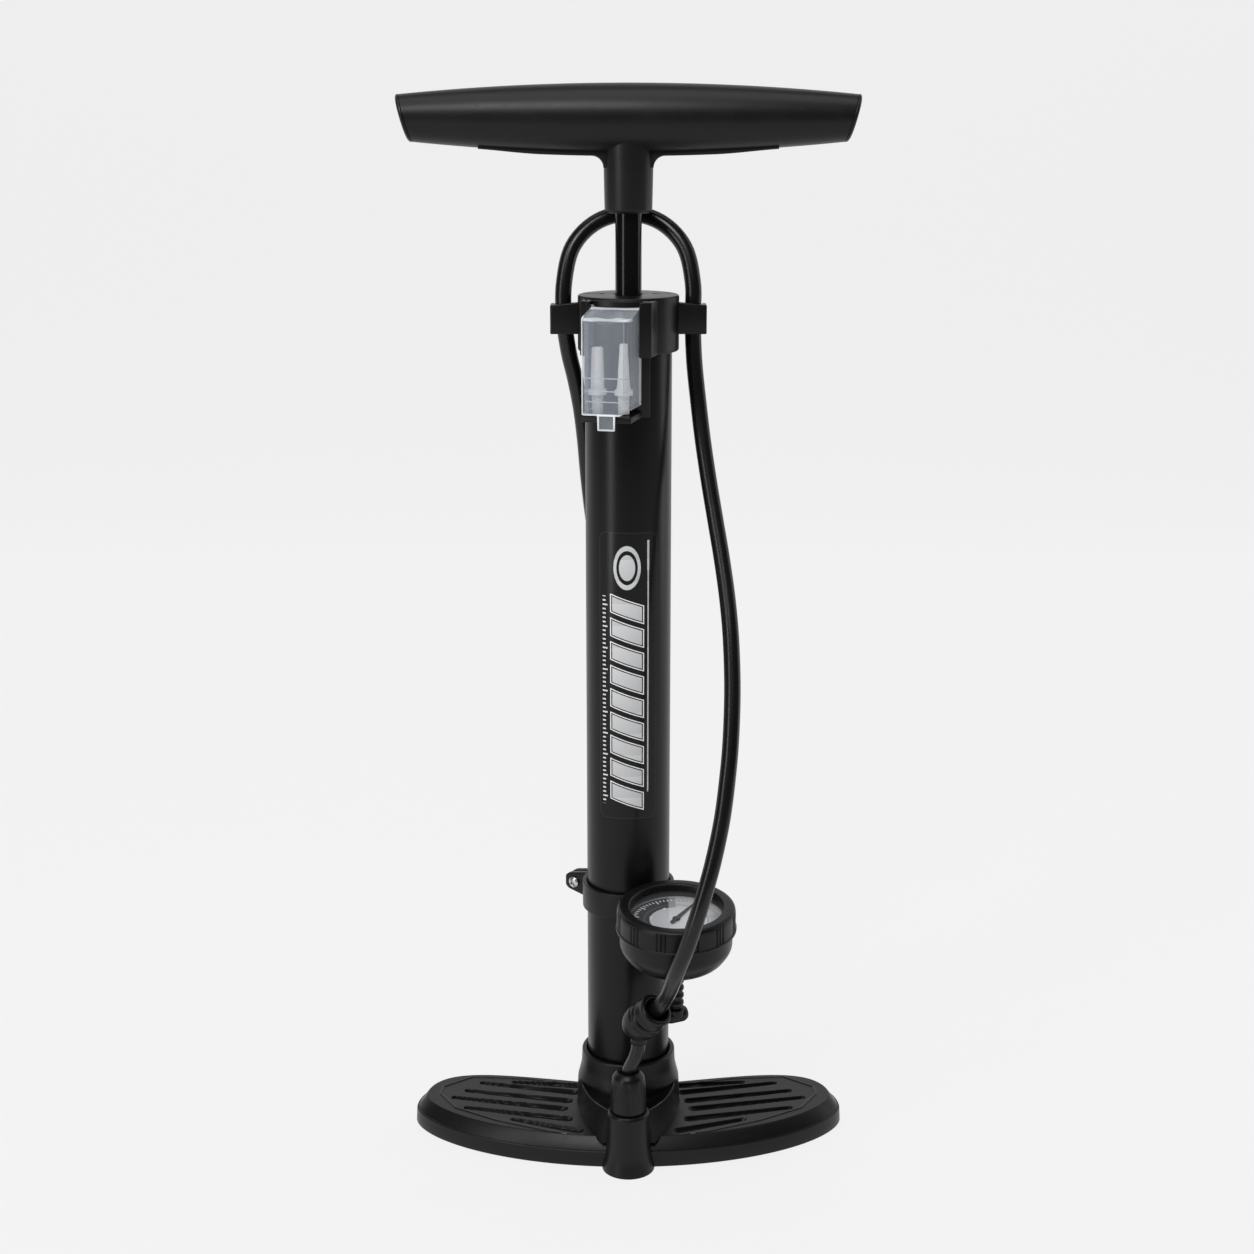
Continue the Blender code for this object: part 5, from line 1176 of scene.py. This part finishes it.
# %% Rod, grip and end caps
HANDLE_Z = 0.5198
HANDLE_HALF = 0.105
HANDLE_R = 0.0162
HANDLE_END_R = 0.0110
END_SLANT = 0.27
STRIP_HALF = 0.071
STRIP_WIDTH = 0.0104
ROD_R = 0.00635
rod_low, rod_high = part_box("piston_rod")[0][2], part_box("piston_rod")[1][2]
tube_wall = [(0.00515, rod_low), (0.00515, rod_high), (ROD_R, rod_high), (ROD_R, rod_low)]
rod_shape = skin(turned(rounded([*tube_wall, tube_wall[0]], 0.0003), 96), caps=False)
add("rod_tube", rod_shape, rod_paint, "handle", ["piston_rod"])


def grip_radius(x):
    """The middle radius, less its difference to the end radius times (x / half length)^2."""
    return HANDLE_R - (HANDLE_R - HANDLE_END_R) * (x / HANDLE_HALF) ** 2


def leaned(points):
    """The slant of the grip's ends: x grows with height above the grip's centre line."""
    points = points.copy()
    points[..., 0] *= 1 + END_SLANT * points[..., 2] / HANDLE_HALF
    return points


def grip():
    """Rows along X, columns round it. The radius drops inside the slot of the yoke's strip."""
    ends = np.linspace(-0.0006, 0.0006, 7)
    even = np.linspace(-HANDLE_HALF, HANDLE_HALF, 120)
    x = np.unique(np.concatenate([even, STRIP_HALF + ends, -STRIP_HALF - ends]))
    fine = np.radians(np.linspace(17, 27, 30))
    t = np.unique(np.concatenate([np.linspace(-pi, pi, 96, endpoint=False), fine, -fine]))
    r = np.repeat(grip_radius(x)[:, None], len(t), 1)
    across = np.abs(r * np.sin(t)[None, :])
    inside = smooth((STRIP_WIDTH / 2 + 0.0004 - across) / 0.0002) * (np.cos(t)[None, :] > 0)
    inside = inside * smooth((STRIP_HALF + 0.0004 - np.abs(x)[:, None]) / 0.0002)
    r = r - 0.0022 * inside
    body = np.stack([np.repeat(x[:, None], len(t), 1), r * np.sin(t), -r * np.cos(t)], -1)
    edge = np.linspace(0, 1, 5)[1:, None, None]

    def close(row, side):
        """The rounded rim, then in to the bore."""
        centre = np.array([side * HANDLE_HALF, 0, 0])
        way = row[None] - centre
        rows = centre + way * (1 - edge * (1 - 0.0085 / HANDLE_END_R))
        return rows

    grid = np.concatenate([close(body[0], -1)[::-1], body, close(body[-1], 1)])
    return skin(placed(leaned(grid), (0, 0, HANDLE_Z)), caps=True)


add("handle_grip_shell", grip(), grip_plastic, "handle", ["handle_grip"], sharp=40)


def end_cap(side):
    """A plug with a shallow dish in its face, turned about X."""
    face = HANDLE_HALF + 0.0003
    outer = HANDLE_END_R
    profile = [
        (0.0, face - 0.0100),
        (0.0079, face - 0.0100),
        (0.0079, face - 0.0001),
        (outer, face - 0.0001),
        (outer, face + 0.0011, 0.0009),
        (outer - 0.0012, face + 0.0018, 0.0004),
        (outer - 0.0030, face + 0.0018, 0.0003),
        (outer - 0.0036, face + 0.0009, 0.0003),
        (0.0030, face + 0.0008),
        (0.0020, face + 0.0014),
        (0.0, face + 0.0015),
    ]
    points = turned(rounded(profile, 0.0003), 96)
    points = np.stack([side * points[..., 2], points[..., 0], points[..., 1]], -1)
    return skin(placed(leaned(points), (0, 0, HANDLE_Z)), caps=False)


for name, side in (("handle_end_cap_left", -1), ("handle_end_cap_right", 1)):
    add(f"{name}_disc", end_cap(side), body_plastic, "handle", [name])

# %% [markdown]
# The yoke is the moulding between rod and grip. Its hub is turned. Its strip lies in the slot
# under the grip and keeps the grip from turning, and it thins out towards its ends. Seen from the
# front the strip is one closed line, with a round fillet where it meets the hub, so it is made as
# that line pushed from back to front.

# %% Yoke
YOKE_FILLET = 0.0055
YOKE_R, YOKE_TOP_R, YOKE_LOW = 0.0114, 0.0119, 0.4760


def yoke_strip():
    """The strip seen from the front: it follows the grip's underside and curves into the hub."""
    x = np.linspace(STRIP_HALF, YOKE_TOP_R + YOKE_FILLET, 40)
    top = np.stack([x, -grip_radius(x) + 0.0019], 1)
    proud = 0.0003 + 0.0009 * smooth((STRIP_HALF - x) / 0.03)
    low = np.stack([x, -grip_radius(x) - proud], 1)
    corner = low[-1]
    t = np.linspace(0, pi / 2, 10)[1:]
    fillet = corner + YOKE_FILLET * np.stack([-np.sin(t), np.cos(t) - 1], 1)
    middle = np.array([[0, top[-1, 1]]])
    right = np.concatenate([middle, top[::-1], low, fillet])
    left = right[::-1][:-1] * [-1, 1]
    outline = np.concatenate([right, left])
    levels = pillow_levels(-STRIP_WIDTH / 2, STRIP_WIDTH / 2, 0.0007)
    return skin(placed(outline_stack(outline, levels, "XZ"), (0, 0, HANDLE_Z)))


hub = rounded(
    [
        (ROD_R + 0.0003, YOKE_LOW + 0.0002),
        (YOKE_R - 0.0012, YOKE_LOW, 0.0002),
        (YOKE_R, YOKE_LOW + 0.0012, 0.0008),
        (YOKE_TOP_R, HANDLE_Z - HANDLE_R - 0.0018, 0.004),
        (YOKE_TOP_R, HANDLE_Z - 0.0060),
        (0.0, HANDLE_Z - 0.0060),
        (0.0, rod_high + 0.0004),
        (ROD_R + 0.0003, rod_high + 0.0004),
        (ROD_R + 0.0003, YOKE_LOW + 0.0002),
    ]
)
yoke_shape = joined(skin(turned(hub, 128), caps=False), yoke_strip())
add("yoke_hub_and_strip", yoke_shape, grip_plastic, "handle", ["handle_yoke"], sharp=50)

# %% [markdown]
# ## The gauge
# The gauge is a cup on a clamp ring round the barrel. A grooved bezel holds a clear lens over a
# printed dial. Its face leans a little to the front. The pieces are worked out upright in the
# gauge's own frame, and then turned and moved to their place.

# %% Cup, clamp ring and ears
BAND_IN, BAND_OUT = 0.0215, 0.0236
BAND_LOW, BAND_HIGH = 0.1236, 0.1373
EAR_AXES = np.array(Matrix.Rotation(radians(-35), 3, "Z"))
SCREW_OUT, SCREW_Z = 0.0315, 0.1300


def on_gauge(shape):
    """A shape from the gauge's own upright frame, leaned and moved to the gauge."""
    points, faces = shape
    return placed(points, GAUGE_AT, GAUGE_AXES), faces


def on_ear(shape):
    """A shape drawn on the left, turned about the barrel to where the clamp's ears are."""
    points, faces = shape
    return placed(points, axes=EAR_AXES), faces


cup = rounded(
    [
        (0.0276, -0.0055),
        (0.0276, -0.0123),
        (0.0280, -0.0130, 0.0003),
        (0.0281, -0.0205, 0.003),
        (0.0272, -0.0232, 0.003),
        (0.0238, -0.0284, 0.004),
        (0.0180, -0.0322, 0.004),
        (0.0100, -0.0352, 0.004),
        (0.0056, -0.0358, 0.001),
        (0.0048, -0.0368, 0.0005),
        (0.0048, -0.0380, 0.0002),
        (0.0023, -0.0380),
        (0.0023, -0.0330),
        (0.0095, -0.0326),
        (0.0163, -0.0300),
        (0.0216, -0.0264),
        (0.0242, -0.0200),
        (0.0242, -0.0091),
        (0.0258, -0.0091),
        (0.0258, -0.0055),
        (0.0276, -0.0055),
    ],
    0.0004,
)
band = rounded(ring_line(BAND_IN, BAND_OUT, BAND_LOW, BAND_HIGH), 0.0005)
ear = [(-0.0212, 0.1226), (-0.0212, 0.1373), (-0.0355, 0.1342)]
ear += [(-0.0375, 0.1326), (-0.0375, 0.1270), (-0.0355, 0.1254)]
EAR_SPANS = ((-0.0043, -0.0008), (0.0008, 0.0043))
ears = [slab(ear, *span, place="XZ", edge=0.0006, corner=0.001) for span in EAR_SPANS]
toward = atan2(GAUGE_AT[0], -GAUGE_AT[1])
bridge = bend(0.0279, toward - 0.36, toward + 0.36, 16) + bend(0.0225, toward + 0.36, toward - 0.36, 16)
case_shape = joined(
    on_gauge(skin(turned(cup, 160), caps=False)),
    skin(turned(band, 128), caps=False),
    *[on_ear(ear_shape) for ear_shape in ears],
    slab(bridge, BAND_LOW + 0.0004, 0.1308, edge=0.0006),
)
add("gauge_cup_and_clamp", case_shape, body_plastic, "frame", ["gauge_case"], sharp=45)


def screw_head():
    """A low dome with a cross pressed into it: depth is 1 mm where |x| or |y| is under 0.4 mm."""
    rise = np.linspace(0, 1, 34)[:, None]
    t = np.linspace(0, 2 * pi, 96, endpoint=False)[None, :]
    r = 0.00285 * rise
    x, y = r * np.cos(t), r * np.sin(t)
    z = 0.0064 - 0.0010 * rise**2.2 + 0 * t
    arm = np.minimum(np.abs(x), np.abs(y))
    cross = smooth((0.00052 - arm) / 0.0002) * smooth((0.0020 - np.hypot(x, y)) / 0.0003)
    top = np.stack([x, y, z - 0.0010 * cross], -1)
    rim = [(0.00285, 0.0048), (0.00285, 0.0046), (0.0015, 0.0046), (0.0015, -0.0078), (0.0, -0.0078)]
    return skin(np.concatenate([top, turned(rim, 96)]), caps=False)


screw_at = EAR_AXES @ np.array([-SCREW_OUT, 0, SCREW_Z])
screw_axes = axes_to(EAR_AXES @ np.array([0, -1.0, 0]))
points, faces = screw_head()
add("cross_screw", (placed(points, screw_at, screw_axes), faces), zinc_plate, "frame", ["clamp_screw"])

# %% [markdown]
# The bezel screws on by hand, so its wall has smooth pads with groups of grooves between them.
# The grooves are made by changing the radius as the profile turns: the depth depends only on the
# angle. A thin lip runs round the foot of the wall.

# %% Bezel and lens
GROOVE_GROUPS = 12


def bezel_grooves(t, r, z):
    """Smooth pads round the wall, with three narrow grooves between one pad and the next."""
    wall = smooth((r - 0.0288) / 0.0006) * smooth((z + 0.0108) / 0.0004) * smooth((-0.0006 - z) / 0.0008)
    place = (t * GROOVE_GROUPS / (2 * pi)) % 1.0
    grooves = np.zeros_like(t)
    for centre in (0.36, 0.50, 0.64):
        grooves = np.maximum(grooves, smooth((0.050 - np.abs(place - centre)) / 0.030))
    return -0.0008 * wall * grooves


bezel = rounded(
    [
        (BAND_OUT - 0.0011, -0.0034),
        (0.0231, -0.0005, 0.0006),
        (0.0239, 0.0, 0.0004),
        (0.0278, 0.0, 0.0008),
        (0.0291, -0.0008, 0.0008),
        (0.0295, -0.0026, 0.0008),
        (0.0295, -0.0108, 0.0004),
        (0.0300, -0.0110, 0.0002),
        (0.0300, -0.0122, 0.0003),
        (0.0279, -0.0122),
        (0.0279, -0.0034),
        (BAND_OUT - 0.0011, -0.0034),
    ],
    0.0003,
)
bezel_shape = skin(turned(bezel, 720, bezel_grooves), caps=False)
add("grooved_bezel", on_gauge(bezel_shape), body_plastic, "frame", ["gauge_bezel"], sharp=50)
lens_foot = [(0.0, -0.0052), (0.0270, -0.0052), (0.0270, -0.0037)]
lens = rounded([*lens_foot, (0.0222, -0.0037, 0.002), (0.010, -0.0031, 0.006), (0, -0.0030)])
lens_clear = clear("lens_clear_wavy", (0.70, 0.74, 0.78), 0.02, 0.14, 0.03)
add("gauge_lens_disc", on_gauge(skin(turned(lens, 96), caps=False)), lens_clear, "frame", ["gauge_lens"])

# %% [markdown]
# The dial is a printed disc. Its colours depend on two numbers, the distance from the middle and
# the angle, so the material works those out from the point in space: it takes the offset from the
# dial's centre and its share along the dial's own two axes.

# %% Dial and needle
DIAL_R = 0.0255
DIAL_TOP = -0.0080
SCALE_START, SCALE_END = radians(225), radians(-45)


def on_dial(s):
    """Shares of the way along the dial's own two axes, from its centre, for a material s."""
    offset = s.node("VectorMath", {"operation": "SUBTRACT"}, s.place(), tuple(GAUGE_AT))
    dot = {"operation": "DOT_PRODUCT"}
    return [s.node("VectorMath", dot, offset, tuple(GAUGE_AXES[:, i]), out=1) for i in (0, 1)]


def printed_dial():
    """A scale round three quarters of the disc, dark at the upper left, with a sheen on the right."""
    s = Shader("dial_print_scale", (0.55, 0.57, 0.60), 0.35, 0.1)
    u, v = on_dial(s)
    r = (u * u + v * v) ** 0.5
    turn = ((u * -1.0).math("ARCTAN2", v * -1.0) / (2 * pi) + 1.0).math("FRACT")
    soft = 0.00012
    band = r.between(0.0170, 0.0222, soft)
    scale = turn.between(0.125, 0.875, 0.001)
    share = (turn - 0.125) / 0.75
    fine = ((share * 50.0).math("FRACT") - 0.5)
    fine = 1.0 - abs(fine).under(0.34, 0.10)
    coarse = 1.0 - abs((share * 10.0).math("FRACT") - 0.5).under(0.465, 0.02)
    ticks = (fine * r.between(0.0200, 0.0218, soft)).max(coarse * r.between(0.0186, 0.0220, soft)) * scale
    dark = r.between(0.0132, 0.0234, soft) * turn.between(0.125, 0.50, 0.004)
    ring = r.between(0.0155, 0.0163, soft) * scale
    zone = band * turn.between(0.70, 0.875, 0.002)
    grain = s.noise(0.0008, 3.0)
    paper = s.mix(grain, (0.44, 0.45, 0.47), (0.54, 0.55, 0.57))
    base = s.mix(r.under(0.0150, soft) * 0.5, paper, (0.55, 0.56, 0.58))
    base = s.mix(dark, base, (0.020, 0.021, 0.023))
    base = s.mix(zone * 0.6, base, (0.20, 0.21, 0.23))
    base = s.mix(ticks * dark, base, (0.88, 0.88, 0.88))
    base = s.mix(ticks * (1.0 - dark), base, (0.03, 0.03, 0.03))
    base = s.mix(ring, base, (0.08, 0.08, 0.09))
    glare = 1.0 - u.under(-0.0035, 0.0004)
    base = s.mix(glare * 0.40, base, (0.80, 0.81, 0.83))
    s.set("Base Color", base)
    s.set("Roughness", 0.30 + grain * 0.12)
    return s


dial = rounded(ring_line(0.0012, DIAL_R, -0.0088, DIAL_TOP), 0.0001)
add("dial_disc", on_gauge(skin(turned(dial, 128), caps=False)), printed_dial(), "frame", ["gauge_dial"])


def numeral(text, at, size, name):
    """A figure of the scale: text made a mesh, then set on the dial."""
    curve = bpy.data.curves.new(name, "FONT")
    curve.body = text
    curve.size = size
    curve.align_x = "CENTER"
    curve.align_y = "CENTER"
    curve.extrude = 0.00004
    holder = bpy.data.objects.new(name, curve)
    bpy.context.scene.collection.objects.link(holder)
    bpy.context.view_layer.update()
    flat = bpy.data.meshes.new_from_object(holder)
    points = np.array([v.co for v in flat.vertices])
    faces = [tuple(p.vertices) for p in flat.polygons]
    bpy.data.objects.remove(holder, do_unlink=True)
    bpy.data.curves.remove(curve)
    bpy.data.meshes.remove(flat)
    return placed(points, at), faces


def ink():
    """The figures are white on the dark part of the scale, and black on the rest."""
    s = Shader("dial_ink", (0.02, 0.02, 0.02), 0.4)
    u = on_dial(s)[0]
    s.set("Base Color", s.mix(u.under(0.0, 0.0002), (0.02, 0.02, 0.02), (0.85, 0.85, 0.85)))
    return s


dial_ink = ink()
figures = []
for i in range(6):
    angle = SCALE_START + (SCALE_END - SCALE_START) * i / 5
    spot = (0.0128 * cos(angle), 0.0128 * sin(angle), DIAL_TOP + 0.00006)
    figures.append(numeral(str(2 * i), spot, 0.0034, f"figure_{i}"))
add("dial_figures", on_gauge(joined(*figures)), dial_ink, "frame")
NEEDLE_REST = radians(60)
NEEDLE_AXES = np.array(Matrix.Rotation(NEEDLE_REST, 3, "Z"))
needle_paint = painted("needle_lacquer", 0.015, 0.3)
pointer = [(-0.0050, -0.0009), (0.0, -0.0011), (0.0185, -0.0002)]
pointer += [(x, -y) for x, y in pointer[::-1]]
hub_disc = rounded(
    [(0, -0.0076), (0.0019, -0.0076), (0.0019, -0.0068, 0.0003), (0.0010, -0.0064, 0.0002), (0, -0.0064)]
)
needle_points, needle_faces = joined(
    slab(pointer, -0.0074, -0.0069, edge=0.0001, corner=0.0002),
    skin(turned(hub_disc, 48), caps=False),
)
needle_shape = on_gauge((placed(needle_points, axes=NEEDLE_AXES), needle_faces))
add("needle_hand", needle_shape, needle_paint, "needle", ["gauge_needle"])

# %% [markdown]
# A ribbed rubber boot covers the pipe between the gauge and the tee. It is one profile, turned.

# %% Ribbed stem
STEM_TOP = -0.0383
ribs = [(0.0012, STEM_TOP), (0.0044, STEM_TOP), (0.0044, STEM_TOP - 0.0012)]
for i in range(4):
    z = STEM_TOP - 0.0016 - 0.0042 * i
    ribs += [(0.0031, z), (0.0042, z - 0.0010), (0.0042, z - 0.0024), (0.0031, z - 0.0034)]
ribs += [(0.0031, -STEM_FOOT), (0.0012, -STEM_FOOT), (0.0012, STEM_TOP)]
stem_shape = skin(turned(rounded(ribs, 0.0004), 64), caps=False)
add("stem_boot", on_gauge(stem_shape), seal_rubber, "frame", ["gauge_stem"])

# %% [markdown]
# ## The chuck
# The chuck hangs behind the barrel at the hose's end. A lever squeezes the rubber round a tyre
# valve. Its body is turned about its own axis, which lies along X.

# %% Chuck body, cap, rubber, ferrule and lever
CHUCK = np.array([0.0, 0.0335, 0.2080])
LEVER_X = -0.0140
ALONG_X = np.array([[0, 0, 1], [0, 1, 0], [-1, 0, 0]], float)


def on_chuck(shape, axes=None):
    """A shape drawn about the origin, moved to the chuck."""
    points, faces = shape
    return placed(points, CHUCK, axes), faces


body = rounded(
    [
        (0.0, -0.0100),
        (0.0078, -0.0100, 0.0008),
        (0.0085, -0.0080, 0.001),
        (0.0085, -0.0030),
        (0.0080, -0.0026),
        (0.0080, -0.0016),
        (0.0085, -0.0012),
        (0.0085, 0.0080, 0.0003),
        (0.0073, 0.0080),
        (0.0073, -0.0020),
        (0.0, -0.0020),
    ],
    0.0003,
)
neck = rounded(
    [(0.0018, 0.0074), (0.0055, 0.0074), (0.0055, 0.0157, 0.0006), (0.0018, 0.0157), (0.0018, 0.0074)],
    0.0004,
)
lever_ear = [(-0.0168, -0.0032), (-0.0090, -0.0032), (-0.0090, 0.0032), (-0.0168, 0.0032)]
LEVER_EAR_SPANS = ((-0.0067, -0.0045), (0.0045, 0.0067))
side_ears = [slab(lever_ear, *span, place="XZ", corner=0.0022) for span in LEVER_EAR_SPANS]
chuck_shape = joined(
    on_chuck(skin(turned(body, 96), caps=False), ALONG_X),
    on_chuck(skin(turned(neck, 64), caps=False)),
    *[on_chuck(ear_shape) for ear_shape in side_ears],
)
chuck_body = add("chuck_housing", chuck_shape, body_plastic, "frame", ["chuck_body"], sharp=45)


def knurl(t, r, z):
    """Twenty shallow flutes on the outer wall."""
    return -0.0003 * (r > 0.0084) * (0.5 + 0.5 * np.cos(20 * t))


cap_ring = rounded(
    [
        (0.0045, 0.0083),
        (0.0087, 0.0083),
        (0.0087, 0.0140),
        (0.0075, 0.0150),
        (0.0045, 0.0150),
        (0.0045, 0.0083),
    ],
    0.0005,
)
nut_shape = on_chuck(skin(turned(cap_ring, 240, knurl), caps=False), ALONG_X)
chuck_cap = add("chuck_nut", nut_shape, body_plastic, "frame", ["chuck_cap"])
seal = rounded(ring_line(0.0041, 0.0070, -0.0017, 0.0080), 0.0004)
seal_shape = on_chuck(skin(turned(seal, 64), caps=False), ALONG_X)
chuck_seal = add("chuck_seal", seal_shape, seal_rubber, "frame", ["chuck_rubber"])
crimps = [(0.0055, 0.0160 + 0.0107 * i / 12) for i in range(13)]
crimps = [(r - 0.0005 * (i % 4 == 2), z) for i, (r, z) in enumerate(crimps)]
ferrule = rounded([(0.0045, 0.0160), *crimps, (0.0045, 0.0267), (0.0045, 0.0160)], 0.0003)
ferrule_shape = on_chuck(skin(turned(ferrule, 64), caps=False))
hose_ferrule = add("crimped_ferrule", ferrule_shape, zinc_plate, "frame", ["hose_ferrule"])
lever_line = [
    (0.0034, 0.0),
    (0.0024, 0.0024),
    (0.0, 0.0034),
    (-0.0024, 0.0024),
    (-0.0034, 0.0),
    (-0.0034, -0.0320),
    (-0.0024, -0.0340),
    (-0.0010, -0.0340),
    (-0.0002, -0.0054),
    (0.0024, -0.0024),
]
lever_outline = [(x + LEVER_X, z) for x, z in lever_line]
lever_shape = on_chuck(slab(lever_outline, -0.0042, 0.0042, place="XZ", edge=0.0006, corner=0.0009))
chuck_lever = add("chuck_thumb_lever", lever_shape, body_plastic, "lever", ["chuck_lever"], sharp=45)

# %% [markdown]
# ## Pieces that keep their CAD shape
# The inner pieces are turned or cut from stock, and their CAD shape is already the real one. They
# only need a finish. Each goes into the slot of the node's own mesh.

# %% Finishes for the carried-over nodes
steel = plated("bright_steel", (0.58, 0.58, 0.57), 0.30)
glossy_ball = plated("ball_finish", (0.66, 0.66, 0.66), 0.10)
CARRIED = {
    "seal_rubber": (seal_rubber, ["barrel_gasket", "piston_cup", "stop_bumper"]),
    "white_nylon": (white_nylon, ["rod_bush", "piston_head"]),
    "brass": (
        turned_brass,
        [
            "check_valve_seat",
            "outlet_nipple",
            "gauge_movement_plate",
            "gauge_bourdon_tube",
            "gauge_socket",
            "needle_arbor",
        ],
    ),
    "steel": (
        steel,
        [
            "piston_washer",
            "piston_nut",
            "rod_foot",
            "handle_pin",
            "check_valve_spring",
            "clamp_nut",
            "chuck_lever_pin",
        ],
    ),
    "ball": (glossy_ball, ["check_valve_ball"]),
}
for recipe, names in CARRIED.values():
    for name in names:
        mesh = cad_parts[name].data
        mesh.materials.clear()
        mesh.materials.append(recipe.material)
print("carried over:", sum(len(names) for _, names in CARRIED.values()))
